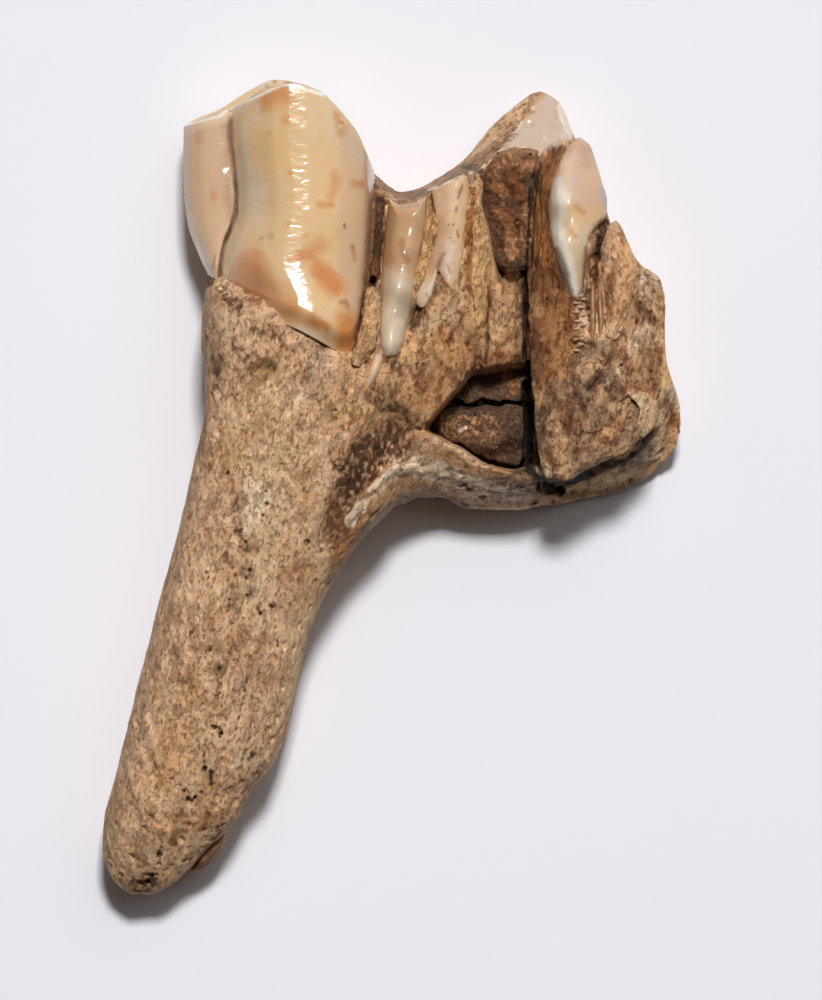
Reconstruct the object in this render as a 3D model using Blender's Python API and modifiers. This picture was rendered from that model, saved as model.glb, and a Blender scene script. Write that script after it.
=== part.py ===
"""A fossil lower molar of an ibex, lying on its tongue side with its cheek side up.

Z is up from the surface that the tooth lies on. Y runs along the tooth, from the root's broken tip
to the chewing edge, and X runs from the front of the jaw to the back. The origin is on the surface,
under the middle of the tooth. Sizes in the tables are millimetres.
"""

import math

import bmesh
import bpy
import numpy as np
from mathutils import Matrix

MM = 0.001

# Size of the steps that the skin of the tooth is made in, and how many triangles it keeps
FINE_STEP = 0.3
SOLID_TRIANGLES = 7600
# How much of the underside is trimmed to the flats that it rests on
FLAT_DEPTH = 0.12
# Middle of the tooth in the tables' own measure, which becomes the origin
MIDDLE = (0.055, -0.105)

# Root: Y, left edge, right edge, lowest and highest point of each cross-section
ROOT = [
    (10.6, -9.6, -2.2, 0.9, 9.0),
    (9.6, -10.1, -1.6, 0.7, 9.7),
    (7.8, -10.2, -0.4, 0.5, 10.0),
    (5.6, -10.0, 1.2, 0.4, 9.9),
    (3.5, -10.1, 1.6, 0.4, 9.7),
    (1.3, -10.6, 0.9, 0.3, 9.5),
    (-0.9, -11.1, 0.3, 0.2, 9.3),
    (-3.0, -11.6, -1.6, 0.1, 9.1),
    (-6.3, -12.5, -3.7, 0.0, 8.9),
    (-8.4, -13.0, -4.5, 0.0, 8.7),
    (-10.6, -13.6, -5.0, 0.0, 8.4),
    (-12.7, -14.1, -5.5, 0.0, 8.0),
    (-15.0, -14.7, -6.3, 0.0, 7.5),
    (-16.5, -15.1, -7.5, 0.0, 7.1),
    (-18.1, -15.5, -8.3, 0.1, 6.6),
    (-19.8, -15.6, -9.9, 0.4, 6.0),
    (-21.1, -15.2, -11.2, 1.0, 5.3),
    (-21.9, -14.6, -12.2, 1.8, 4.5),
    (-22.2, -14.0, -12.9, 2.4, 3.9),
]

# Front lobe of the crown, as stations round its outline: share of its width from the left edge,
# share of its thickness from the back, Y of the chewing edge and Y of the lower edge
FRONT_LOBE = [
    (0.00, 0.42, 19.3, 9.0),
    (0.05, 0.58, 19.4, 9.0),
    (0.12, 0.69, 19.7, 8.8),
    (0.20, 0.74, 20.1, 8.6),
    (0.255, 0.69, 20.3, 8.4),
    (0.31, 0.80, 20.5, 8.2),
    (0.42, 0.93, 21.1, 7.6),
    (0.57, 1.00, 21.5, 7.0),
    (0.72, 0.97, 21.1, 6.6),
    (0.86, 0.86, 19.7, 6.4),
    (0.96, 0.68, 17.9, 6.4),
    (1.00, 0.52, 16.9, 6.4),
    (0.99, 0.25, 17.0, 6.4),
    (0.93, 0.08, 18.4, 6.4),
    (0.80, 0.02, 20.5, 6.4),
    (0.64, 0.04, 21.8, 6.4),
    (0.48, 0.00, 22.2, 6.4),
    (0.33, 0.02, 21.3, 6.4),
    (0.20, 0.04, 20.4, 7.0),
    (0.09, 0.12, 19.9, 8.0),
    (0.02, 0.26, 19.5, 8.8),
]
# Y, left edge, right edge, lowest and highest point of the front lobe
FRONT_LOBE_SIZE = [
    (22.2, -11.2, -1.0, 0.6, 9.5),
    (19.3, -11.2, -1.0, 0.3, 9.8),
    (16.2, -11.2, -0.9, 0.2, 10.3),
    (14.1, -10.9, -0.9, 0.1, 10.6),
    (12.3, -10.4, -1.0, 0.0, 10.7),
    (10.0, -9.7, -1.4, 0.0, 10.7),
    (8.2, -9.5, -1.8, 0.1, 10.3),
    (6.4, -9.4, -1.8, 0.2, 9.6),
]

# Middle and back of the tooth, from front to back: X, Y of the lower edge, Y of the chewing edge at
# the cheek side and at the tongue side, and the lowest point
BLOCK = [
    (-1.8, 2.0, 16.8, 17.8, 0.5),
    (-1.0, 0.0, 16.1, 17.1, 0.3),
    (-0.3, -1.0, 15.5, 16.5, 0.2),
    (0.5, -1.1, 15.1, 16.0, 0.1),
    (1.5, -0.7, 15.4, 16.2, 0.0),
    (2.7, -0.7, 16.2, 16.8, 0.0),
    (4.0, -1.3, 16.9, 17.8, 0.0),
    (5.4, -1.4, 17.7, 19.7, 0.1),
    (6.9, -1.4, 18.2, 21.1, 0.0),
    (8.0, -1.2, 18.4, 21.8, 0.0),
    (9.1, -1.1, 18.3, 21.2, 0.0),
    (9.9, -0.9, 17.5, 19.2, 0.0),
    (11.0, -0.7, 15.5, 15.9, 0.1),
    (12.1, -0.5, 12.9, 13.2, 0.2),
    (13.4, 0.1, 11.4, 11.6, 0.4),
    (14.4, 0.8, 9.6, 9.8, 0.9),
    (15.0, 1.4, 6.2, 6.2, 1.4),
    (15.4, 2.0, 5.1, 5.1, 1.9),
    (15.7, 3.1, 4.0, 4.0, 2.8),
]
# Spot heights of the cheek side there: X, Y, Z
BLOCK_HEIGHTS = {
    "valley": [(-0.5, 15.5, 6.0), (-0.7, 12.9, 6.4), (-1.1, 10.2, 7.0), (-1.6, 8.0, 8.4)],
    "first_ridge": [(0.8, 15.0, 8.3), (0.6, 12.5, 8.6), (0.3, 10.5, 8.7), (-0.1, 8.2, 8.9), (-0.5, 6.8, 9.1)],
    "between_ridges": [(1.9, 15.6, 7.3), (1.8, 13.5, 7.5), (1.6, 11.5, 7.8), (1.3, 9.3, 8.1), (1.2, 7.6, 8.5)],
    "second_ridge": [(3.7, 16.4, 7.5), (3.2, 14.0, 8.0), (2.9, 12.0, 8.3), (2.3, 10.5, 8.5), (1.9, 9.3, 8.6)],
    "broken_dentine": [(4.6, 15.8, 6.9), (5.0, 14.0, 7.0), (5.2, 12.3, 7.1), (5.0, 10.5, 7.4), (5.2, 8.5, 7.3)],
    "cavity_edge": [(5.4, 7.0, 7.0), (4.3, 6.6, 7.6), (3.0, 5.0, 8.1), (1.9, 3.9, 8.4), (1.0, 3.0, 8.4)],
    "neck": [(3.5, 9.0, 8.1), (2.5, 7.5, 8.5), (1.0, 5.5, 9.0), (-1.0, 3.5, 9.0), (0.0, 1.6, 8.2)],
    "cavity_rim": [(1.4, 2.0, 7.8), (2.5, 1.4, 7.3), (3.9, 0.7, 6.8), (5.0, 0.2, 6.4), (7.6, -0.2, 5.8)],
    "lower_rim": [(0.6, 0.0, 7.2), (2.7, -0.4, 6.0), (4.0, -0.9, 5.2), (6.9, -1.1, 4.8), (9.0, -0.8, 4.2)],
    "tongue": [(6.3, 11.0, 6.2), (6.4, 8.5, 6.5), (6.3, 6.5, 6.4), (7.0, 7.5, 6.0)],
    "fossette": [(5.6, 17.0, 6.4), (6.6, 15.0, 6.2), (6.6, 13.0, 6.1), (7.4, 17.6, 6.0), (8.0, 20.0, 4.6)],
    "back_lobe": [(9.4, 17.8, 5.6), (9.4, 14.0, 6.2), (9.4, 10.6, 6.2), (11.6, 12.0, 6.4), (13.6, 9.6, 5.6)],
    "under_slab": [(8.4, 7.0, 3.6), (8.6, 4.0, 2.9), (11.0, 6.0, 3.3), (11.0, 2.6, 2.9), (13.4, 6.6, 4.0)],
    "back_rim": [(10.0, -0.2, 3.6), (12.0, 0.2, 3.5), (13.4, 1.3, 3.9), (14.6, 2.4, 4.5), (15.1, 4.0, 4.9), (14.6, 5.6, 5.0)],
}

# Slab of the back lobe: Y, left edge, right edge and lowest point
SLAB = [
    (18.6, 9.0, 10.3, 4.6),
    (18.2, 8.5, 10.8, 4.2),
    (17.5, 8.5, 11.1, 3.8),
    (16.4, 8.4, 11.4, 3.6),
    (15.3, 8.3, 11.7, 3.5),
    (14.1, 8.2, 12.0, 3.5),
    (13.2, 8.0, 12.6, 3.5),
    (12.0, 7.8, 13.3, 3.6),
    (11.0, 7.7, 14.5, 3.8),
    (9.9, 7.6, 14.8, 4.2),
    (8.6, 7.5, 14.8, 4.9),
    (7.6, 7.5, 14.8, 5.6),
    (6.4, 7.5, 14.6, 6.0),
    (5.3, 7.6, 14.5, 6.1),
    (4.3, 7.8, 14.4, 6.2),
    (3.4, 7.7, 14.1, 6.3),
    (2.6, 7.8, 13.5, 6.3),
    (1.8, 7.9, 12.8, 6.4),
    (1.2, 8.0, 11.4, 6.4),
    (0.6, 8.1, 10.2, 6.5),
    (0.2, 8.4, 9.7, 6.7),
]
SLAB_HEIGHTS = {
    "crack_side": [(8.4, 17.3, 6.0), (8.2, 14.6, 6.3), (7.9, 12.0, 6.6), (7.7, 8.5, 6.9), (7.8, 5.0, 7.1), (8.2, 1.5, 7.2)],
    "enamel_crest": [(9.9, 18.3, 6.9), (10.2, 16.5, 8.0), (10.2, 14.0, 8.7), (10.3, 12.0, 8.8), (10.2, 10.0, 8.5), (10.2, 8.0, 8.3)],
    "groove": [(11.3, 13.2, 7.5), (11.2, 11.5, 7.4), (11.3, 9.5, 7.5)],
    "second_crest": [(12.3, 13.0, 7.1), (12.7, 11.5, 7.9), (12.9, 9.6, 8.1), (12.6, 8.0, 8.0)],
    "right_side": [(13.7, 10.2, 6.9), (14.5, 10.2, 5.8), (14.5, 8.0, 6.4), (14.3, 6.0, 6.9), (14.2, 4.5, 7.0)],
    "broken_face": [(9.0, 6.0, 7.8), (11.0, 6.5, 8.3), (13.0, 6.4, 8.0), (9.2, 3.5, 8.0), (11.0, 3.8, 8.4), (13.0, 4.2, 7.9)],
    "lower_edge": [(9.0, 1.2, 7.9), (10.4, 1.6, 8.1), (11.8, 2.2, 8.0), (12.9, 2.7, 7.7), (13.8, 3.6, 7.3)],
}

# Hollows sunk into the cheek side: outline and height of the floor
PULP_CAVITY = [
    (4.5, 6.3), (5.7, 6.4), (6.9, 6.0), (8.0, 5.6), (8.2, 2.4), (8.2, 0.9),
    (6.4, 0.6), (4.9, 1.0), (3.8, 1.8), (2.6, 2.4), (1.6, 2.9), (2.6, 4.1), (3.5, 5.1),
]
PULP_CAVITY_FLOOR = 3.2
FOSSETTE = [
    (5.0, 16.8), (6.2, 17.6), (7.9, 17.8), (8.0, 16.4), (7.9, 14.8), (7.6, 12.6),
    (7.2, 10.8), (6.4, 10.2), (5.8, 10.9), (5.5, 12.1), (5.2, 13.7), (4.8, 15.1),
]
FOSSETTE_FLOOR = 4.3

# Earth that fills them, as outlines with a floor and a top
CAVITY_EARTH = [
    (4.7, 5.6), (5.7, 5.8), (6.7, 5.4), (7.4, 4.6), (7.5, 2.4), (7.4, 1.6),
    (6.3, 1.3), (5.1, 1.7), (4.1, 2.5), (3.0, 3.0), (3.3, 4.1), (4.0, 4.9),
]
CAVITY_EARTH_HEIGHT = (PULP_CAVITY_FLOOR + 0.4, 5.4)
FOSSETTE_EARTH = [
    (5.5, 16.2), (6.3, 16.9), (7.4, 17.0), (7.5, 15.4), (7.3, 13.2), (7.0, 11.5),
    (6.5, 10.9), (6.2, 11.6), (5.9, 12.9), (5.6, 14.3),
]
FOSSETTE_EARTH_HEIGHT = (FOSSETTE_FLOOR + 0.4, 6.2)
EARTH_ROUNDING = 0.4

# Grooves cut into the cheek side and ridges raised on it: points, half width and height
STROKES = [
    ([(-0.5, 15.9), (-0.6, 14.0), (-0.8, 12.0), (-1.1, 10.3)], 0.6, -1.1),
    ([(2.1, 15.6), (1.9, 13.0), (1.7, 10.6), (1.3, 8.6)], 0.45, -0.7),
    ([(4.1, 16.6), (3.6, 14.0), (3.0, 11.8), (2.1, 9.9)], 0.5, 0.45),
    ([(5.4, 9.0), (5.2, 7.0)], 0.3, -0.5),
    ([(-3.4, -2.8), (-1.6, -0.4), (0.0, 1.7), (1.2, 3.2)], 1.6, -0.7),
    ([(11.4, 13.6), (11.2, 11.6), (11.4, 9.6)], 0.5, -0.8),
    ([(7.2, 0.1), (8.4, -0.2), (9.2, -0.2)], 0.5, -1.2),
    ([(-9.4, -8.0), (-10.3, -13.0), (-11.6, -17.6)], 1.6, -0.25),
]

# Axis and radius of the round pillar beside the deep valley
PILLAR = [(0.9, 15.0, 7.5), (0.7, 12.6, 7.7), (0.4, 10.4, 7.9), (0.0, 8.2, 8.1), (-0.4, 6.4, 8.2)]
PILLAR_RADIUS = 1.0


def follow(table, at):
    """The table's other columns at each value of its first, on a smooth curve that never overshoots."""
    rows = np.array(table, float)
    rows = rows[np.argsort(rows[:, 0])]
    x, y = rows[:, 0], rows[:, 1:]
    slope = np.diff(y, axis=0) / np.diff(x)[:, None]
    before, after = slope[:-1], slope[1:]
    same_way = before * after > 0
    total = np.where(same_way, before + after, 1.0)
    middle = np.where(same_way, 2 * before * after / total, 0.0)
    tangent = np.vstack([slope[:1], middle, slope[-1:]])
    at = np.clip(at, x[0], x[-1])
    cell = np.clip(np.searchsorted(x, at) - 1, 0, len(x) - 2)
    width = (x[cell + 1] - x[cell])[:, None]
    t = ((at - x[cell])[:, None]) / width
    start, end = y[cell], y[cell + 1]
    lift = tangent[cell] * width * t * (1 - t) ** 2 - tangent[cell + 1] * width * t**2 * (1 - t)
    return start + (end - start) * t**2 * (3 - 2 * t) + lift


def surface_over(heights):
    """A thin-plate surface through spot heights, as a function of X and Y."""
    spots = np.array([spot for line in heights.values() for spot in line], float)

    def kernel(points):
        gap = np.linalg.norm(points[:, None, :] - spots[None, :, :2], axis=2) + 1e-9
        return gap**2 * np.log(gap)

    def plane(points):
        return np.column_stack([np.ones(len(points)), points])

    count = len(spots)
    system = np.zeros((count + 3, count + 3))
    system[:count, :count] = kernel(spots[:, :2])
    system[:count, count:] = plane(spots[:, :2])
    system[count:, :count] = system[:count, count:].T
    weights = np.linalg.solve(system, np.append(spots[:, 2], np.zeros(3)))

    def height(x, y):
        points = np.column_stack([np.ravel(x), np.ravel(y)])
        found = kernel(points) @ weights[:count] + plane(points) @ weights[count:]
        return found.reshape(np.shape(x))

    return height


def distance_to_line(x, y, line):
    """Distance from each point to a line through several points."""
    line = np.array(line, float)
    nearest = np.full(np.shape(x), np.inf)
    for a, b in zip(line[:-1], line[1:]):
        along = b - a
        share = np.clip(((x - a[0]) * along[0] + (y - a[1]) * along[1]) / (along @ along), 0, 1)
        nearest = np.minimum(nearest, np.hypot(x - a[0] - share * along[0], y - a[1] - share * along[1]))
    return nearest


def depth_inside(x, y, outline):
    """How far each point is inside an outline, below zero outside it."""
    inside = np.zeros(np.shape(x), bool)
    for (ax, ay), (bx, by) in zip(outline, outline[1:] + outline[:1]):
        crosses = (ay > y) != (by > y)
        rise = by - ay if by != ay else 1.0
        inside ^= crosses & (x < (bx - ax) * (y - ay) / rise + ax)
    distance = distance_to_line(x, y, outline + outline[:1])
    return np.where(inside, distance, -distance)


def smooth_step(value):
    value = np.clip(value, 0, 1)
    return value * value * (3 - 2 * value)


def sink(height, x, y, outline, floor, softness=0.25):
    """Lowers a height to a floor inside an outline, with a wall that slopes over the softness."""
    share = smooth_step(depth_inside(x, y, outline) / softness)
    return height + (np.minimum(floor, height) - height) * share


def ring_angles(count):
    return np.linspace(0, 2 * math.pi, count, endpoint=False)


def rounded(value, power):
    """A cosine or sine squared off, so that a ring of them fills more of its box."""
    return np.sign(value) * np.abs(value) ** (2 / power)


def loft(name, rings):
    """A closed solid through rings of points in millimetres, with both ends capped by a fan."""
    mesh = bmesh.new()
    rows = [[mesh.verts.new(point * MM) for point in ring] for ring in rings]
    for row, following in zip(rows, rows[1:]):
        for i in range(len(row)):
            j = (i + 1) % len(row)
            mesh.faces.new((row[i], row[j], following[j], following[i]))
    for row, ring in ((rows[0], rings[0]), (rows[-1], rings[-1])):
        centre = mesh.verts.new(np.mean(ring, axis=0) * MM)
        for i in range(len(row)):
            mesh.faces.new((row[i], row[(i + 1) % len(row)], centre))
    bmesh.ops.recalc_face_normals(mesh, faces=mesh.faces)
    data = bpy.data.meshes.new(name)
    mesh.to_mesh(data)
    mesh.free()
    return data


def root():
    """The long root, from inside the crown to its broken tip."""
    levels = np.linspace(ROOT[0][0], ROOT[-1][0], 110)
    angles = ring_angles(72)
    rings = []
    for y, (left, right, low, high) in zip(levels, follow(ROOT, levels)):
        x = (left + right) / 2 + (right - left) / 2 * rounded(np.cos(angles), 2.3)
        z = (low + high) / 2 + (high - low) / 2 * rounded(np.sin(angles), 2.3)
        rings.append(np.column_stack([x, np.full(len(x), y), z]))
    return loft("root", rings)


def front_lobe():
    """The front lobe of the crown, with the narrow fold on its left and the worn edge on top."""
    stations = np.array(FRONT_LOBE + FRONT_LOBE[:1], float)
    turn = np.arange(len(stations))
    share = follow(np.column_stack([turn, stations]), np.linspace(0, len(FRONT_LOBE), 121)[:-1])
    rings = []
    for down in np.linspace(0, 1, 40):
        y = share[:, 2] + (share[:, 3] - share[:, 2]) * down
        left, right, low, high = follow(FRONT_LOBE_SIZE, y).T
        x = left + (right - left) * share[:, 0]
        z = low + (high - low) * share[:, 1]
        rings.append(np.column_stack([x, y, z]))
    return loft("front_lobe", rings)


def middle_and_back():
    """The rest of the crown and the stump of the back root, with the two hollows broken into it."""
    height = surface_over(BLOCK_HEIGHTS)
    places = np.linspace(BLOCK[0][0], BLOCK[-1][0], 110)
    angles = ring_angles(240)
    rings = []
    for x, (bottom, top, top_behind, low) in zip(places, follow(BLOCK, places)):
        along = rounded(np.cos(angles), 5)
        up = rounded(np.sin(angles), 5)
        y = (top + bottom) / 2 + (top - bottom) / 2 * along
        y += (top_behind - top) * smooth_step(along) * smooth_step(0.5 - up / 2)
        across = np.full(len(y), x)
        high = height(across, np.clip(y, bottom + 0.3, top - 0.3))
        high = sink(high, across, y, PULP_CAVITY, PULP_CAVITY_FLOOR)
        high = sink(high, across, y, FOSSETTE, FOSSETTE_FLOOR)
        z = low + (np.maximum(high, low + 0.6) - low) * (up + 1) / 2
        rings.append(np.column_stack([across, y, z]))
    return loft("middle_and_back", rings)


def slab():
    """The cheek wall of the back lobe, which a crack parts from the rest and which overhangs below."""
    height = surface_over(SLAB_HEIGHTS)
    levels = np.linspace(SLAB[0][0], SLAB[-1][0], 90)
    angles = ring_angles(120)
    rings = []
    for y, (left, right, low) in zip(levels, follow(SLAB, levels)):
        across = (left + right) / 2 + (right - left) / 2 * rounded(np.cos(angles), 3.2)
        along = np.full(len(across), y)
        up = rounded(np.sin(angles), 3.2)
        high = height(np.clip(across, left + 0.2, right - 0.2), along)
        rings.append(np.column_stack([across, along, low + (high - low) * (up + 1) / 2]))
    return loft("slab", rings)


def pillar():
    """The rounded pillar of enamel beside the deep valley."""
    curve = bpy.data.curves.new("pillar", "CURVE")
    curve.dimensions = "3D"
    curve.bevel_depth = PILLAR_RADIUS * MM
    curve.bevel_resolution = 5
    curve.use_fill_caps = True
    spline = curve.splines.new("POLY")
    spline.points.add(len(PILLAR) - 1)
    for point, place in zip(spline.points, PILLAR):
        point.co = (*[size * MM for size in place], 1)
    obj = bpy.data.objects.new("pillar", curve)
    data = bpy.data.meshes.new_from_object(obj)
    bpy.data.objects.remove(obj)
    return data


def placed(name, data, collection):
    obj = bpy.data.objects.new(name, data)
    collection.objects.link(obj)
    return obj


def evaluated(obj):
    """The object's mesh with its modifiers applied, in place of the object's own."""
    bpy.context.view_layer.update()
    graph = bpy.context.evaluated_depsgraph_get()
    made = bpy.data.meshes.new_from_object(obj.evaluated_get(graph))
    obj.modifiers.clear()
    old = obj.data
    obj.data = made
    bpy.data.meshes.remove(old)
    return obj


def merged(name, meshes, collection):
    """One skin round several overlapping solids."""
    mesh = bmesh.new()
    for data in meshes:
        mesh.from_mesh(data)
        bpy.data.meshes.remove(data)
    data = bpy.data.meshes.new(name)
    mesh.to_mesh(data)
    mesh.free()
    obj = placed(name, data, collection)
    remesh = obj.modifiers.new("one_skin", "REMESH")
    remesh.mode = "VOXEL"
    remesh.voxel_size = FINE_STEP * MM
    smooth = obj.modifiers.new("soften", "SMOOTH")
    smooth.factor = 0.5
    smooth.iterations = 3
    return evaluated(obj)


def carve(obj, strokes):
    """Cuts grooves and raises ridges on the side that faces up."""
    data = obj.data
    points = np.empty(len(data.vertices) * 3)
    normals = np.empty(len(data.vertices) * 3)
    data.vertices.foreach_get("co", points)
    data.vertices.foreach_get("normal", normals)
    points = points.reshape(-1, 3) / MM
    facing = smooth_step((normals.reshape(-1, 3)[:, 2] - 0.1) / 0.5)
    for line, half_width, rise in strokes:
        near = smooth_step(1 - distance_to_line(points[:, 0], points[:, 1], line) / (2 * half_width))
        points[:, 2] += rise * near * facing
    data.vertices.foreach_set("co", (points * MM).ravel())
    data.update()


def thinned(obj, triangles):
    """Fewer faces, kept where the shape turns."""
    obj.data.calc_loop_triangles()
    fewer = obj.modifiers.new("fewer_faces", "DECIMATE")
    fewer.ratio = min(1.0, triangles / len(obj.data.loop_triangles))
    fewer.use_collapse_triangulate = True
    return evaluated(obj)


def lying_flat(obj, cutters):
    """Trims the underside, so that it rests on small flats at the height of the surface."""
    size = 2 * max(obj.dimensions)
    bpy.ops.mesh.primitive_cube_add(size=size)
    floor = bpy.context.active_object
    floor.name = "surface_below"
    floor.location.z = FLAT_DEPTH * MM - size / 2
    for group in list(floor.users_collection):
        group.objects.unlink(floor)
    cutters.objects.link(floor)
    floor.hide_render = True
    floor.display_type = "WIRE"
    cut = obj.modifiers.new("flats", "BOOLEAN")
    cut.operation = "DIFFERENCE"
    cut.solver = "EXACT"
    cut.object = floor
    return evaluated(obj)


def earth(name, outline, heights, collection):
    """A lump of hardened earth that fills a hollow."""
    low, high = heights
    curve = bpy.data.curves.new(name, "CURVE")
    curve.dimensions = "2D"
    curve.fill_mode = "BOTH"
    curve.extrude = (high - low) / 2 * MM
    spline = curve.splines.new("POLY")
    spline.points.add(len(outline) - 1)
    for point, (x, y) in zip(spline.points, outline):
        point.co = (x * MM, y * MM, 0, 1)
    spline.use_cyclic_u = True
    shape = bpy.data.objects.new(name, curve)
    data = bpy.data.meshes.new_from_object(shape)
    bpy.data.objects.remove(shape)
    mesh = bmesh.new()
    mesh.from_mesh(data)
    bmesh.ops.remove_doubles(mesh, verts=mesh.verts, dist=0.01 * MM)
    mesh.to_mesh(data)
    mesh.free()
    data.transform(Matrix.Translation((0, 0, (low + high) / 2 * MM)))
    obj = placed(name, data, collection)
    edge = obj.modifiers.new("rounded_edge", "BEVEL")
    edge.width = EARTH_ROUNDING * MM
    edge.segments = 3
    edge.limit_method = "ANGLE"
    edge.angle_limit = math.radians(50)
    return obj


def material(name, colour, roughness):
    made = bpy.data.materials.new(name)
    made.use_nodes = True
    shader = made.node_tree.nodes["Principled BSDF"]
    shader.inputs["Base Color"].default_value = (*colour, 1)
    shader.inputs["Roughness"].default_value = roughness
    shader.inputs["Metallic"].default_value = 0
    return made


def main():
    for obj in list(bpy.data.objects):
        bpy.data.objects.remove(obj)
    tooth = bpy.data.collections.new("fossil_ibex_molar")
    cutters = bpy.data.collections.new("cutters")
    for collection in (tooth, cutters):
        bpy.context.scene.collection.children.link(collection)

    molar = merged("molar", [root(), front_lobe(), middle_and_back(), slab(), pillar()], tooth)
    carve(molar, STROKES)
    thinned(molar, SOLID_TRIANGLES)
    lying_flat(molar, cutters)
    molar.data.materials.clear()
    molar.data.materials.append(material("bone", (0.52, 0.38, 0.24), 0.75))

    cavity = earth("cavity_earth", CAVITY_EARTH, CAVITY_EARTH_HEIGHT, tooth)
    cavity.data.materials.append(material("earth", (0.12, 0.08, 0.05), 0.95))
    fossette = earth("fossette_earth", FOSSETTE_EARTH, FOSSETTE_EARTH_HEIGHT, tooth)
    fossette.data.materials.append(material("fossette_earth", (0.16, 0.11, 0.07), 0.95))
    for obj in (molar, cavity, fossette):
        obj.data.transform(Matrix.Translation((-MIDDLE[0] * MM, -MIDDLE[1] * MM, -FLAT_DEPTH * MM)))


main()
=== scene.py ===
"""The looks of a fossil ibex molar that lies with its cheek side up.

Shape tables are in millimetres, in the tooth's own measure. Places of surface marks are in pixels of
the photograph, PIXEL millimetres each, because it looks straight down on the tooth.
"""
import math

import bmesh
import bpy
import numpy as np
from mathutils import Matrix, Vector


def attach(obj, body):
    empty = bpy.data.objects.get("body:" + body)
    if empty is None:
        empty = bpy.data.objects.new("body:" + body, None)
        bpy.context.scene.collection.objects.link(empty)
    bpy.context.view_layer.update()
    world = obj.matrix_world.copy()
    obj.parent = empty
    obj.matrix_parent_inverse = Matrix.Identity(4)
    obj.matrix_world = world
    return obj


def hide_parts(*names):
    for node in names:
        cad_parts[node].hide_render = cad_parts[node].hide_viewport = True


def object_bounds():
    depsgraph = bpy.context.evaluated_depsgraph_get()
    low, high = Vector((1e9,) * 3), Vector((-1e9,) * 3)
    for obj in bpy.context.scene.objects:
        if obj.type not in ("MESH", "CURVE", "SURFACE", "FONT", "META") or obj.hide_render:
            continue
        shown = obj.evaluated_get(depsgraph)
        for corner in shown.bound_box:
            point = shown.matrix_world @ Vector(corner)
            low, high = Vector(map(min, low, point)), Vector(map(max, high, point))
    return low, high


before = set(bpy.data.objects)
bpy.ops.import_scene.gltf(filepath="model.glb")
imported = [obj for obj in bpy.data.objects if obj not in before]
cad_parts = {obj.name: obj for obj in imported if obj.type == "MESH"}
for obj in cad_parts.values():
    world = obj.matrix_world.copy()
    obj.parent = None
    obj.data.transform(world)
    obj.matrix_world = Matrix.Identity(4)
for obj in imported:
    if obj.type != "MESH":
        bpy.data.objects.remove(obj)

CAD_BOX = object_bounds()

MM = 0.001
PIXEL = 0.054
PHOTO_SIZE = (822, 1000)
PHOTO_MIDDLE = (391, 484)
MIDDLE = (0.055, -0.105)
FLAT_DEPTH = 0.12

# Steps of the body's skin in millimetres, how often it is smoothed, and how far up a face must point
# to be cut finer
SKIN_STEP = 0.15
SKIN_SMOOTHING = 3
FINE_ABOVE = 0.35
# Where the skin is parted: X and Y of the root's corner, and X in front of the long crack
ROOT_PART = (-2.6, 8.5)
BACK_PART = 6.6

# Root: Y, left edge, right edge, lowest and highest point of each cross-section
ROOT = [
    (11.4, -9.8, -2.4, 0.9, 7.0),
    (10.6, -10.0, -2.4, 0.8, 8.0),
    (9.9, -10.1, -2.4, 0.7, 9.0),
    (9.1, -10.2, -2.4, 0.6, 9.6),
    (8.2, -10.2, -2.2, 0.5, 9.75),
    (7.4, -10.2, -1.4, 0.5, 9.7),
    (6.6, -10.1, -0.2, 0.5, 9.75),
    (5.6, -10.0, 1.2, 0.4, 9.75),
    (3.5, -10.1, 1.6, 0.4, 9.7),
    (1.3, -10.6, 0.9, 0.3, 9.5),
    (-0.9, -11.1, 0.3, 0.2, 9.3),
    (-3.0, -11.6, -1.6, 0.1, 9.1),
    (-6.3, -12.5, -3.7, 0.0, 8.9),
    (-8.4, -13.0, -4.5, 0.0, 8.7),
    (-10.6, -13.6, -5.0, 0.0, 8.4),
    (-12.7, -14.1, -5.5, 0.0, 8.0),
    (-15.0, -14.7, -6.3, 0.0, 7.5),
    (-16.5, -15.1, -7.5, 0.0, 7.1),
    (-18.1, -15.5, -8.3, 0.1, 6.6),
    (-19.8, -15.6, -9.9, 0.3, 5.6),
    (-21.1, -15.2, -11.2, 0.6, 4.6),
    (-21.9, -14.6, -12.2, 1.1, 3.7),
    (-22.2, -14.0, -12.9, 1.6, 3.0),
]

# Cross-sections of each solid, and the points round each of them
ROOT_GRID = (200, 140)
BLOCK_GRID = (230, 420)
SLAB_GRID = (180, 220)
# How square each cross-section is: 2 is an ellipse
ROOT_POWER = 2.8
BLOCK_POWER = 5
SLAB_POWER = 3.6

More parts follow.
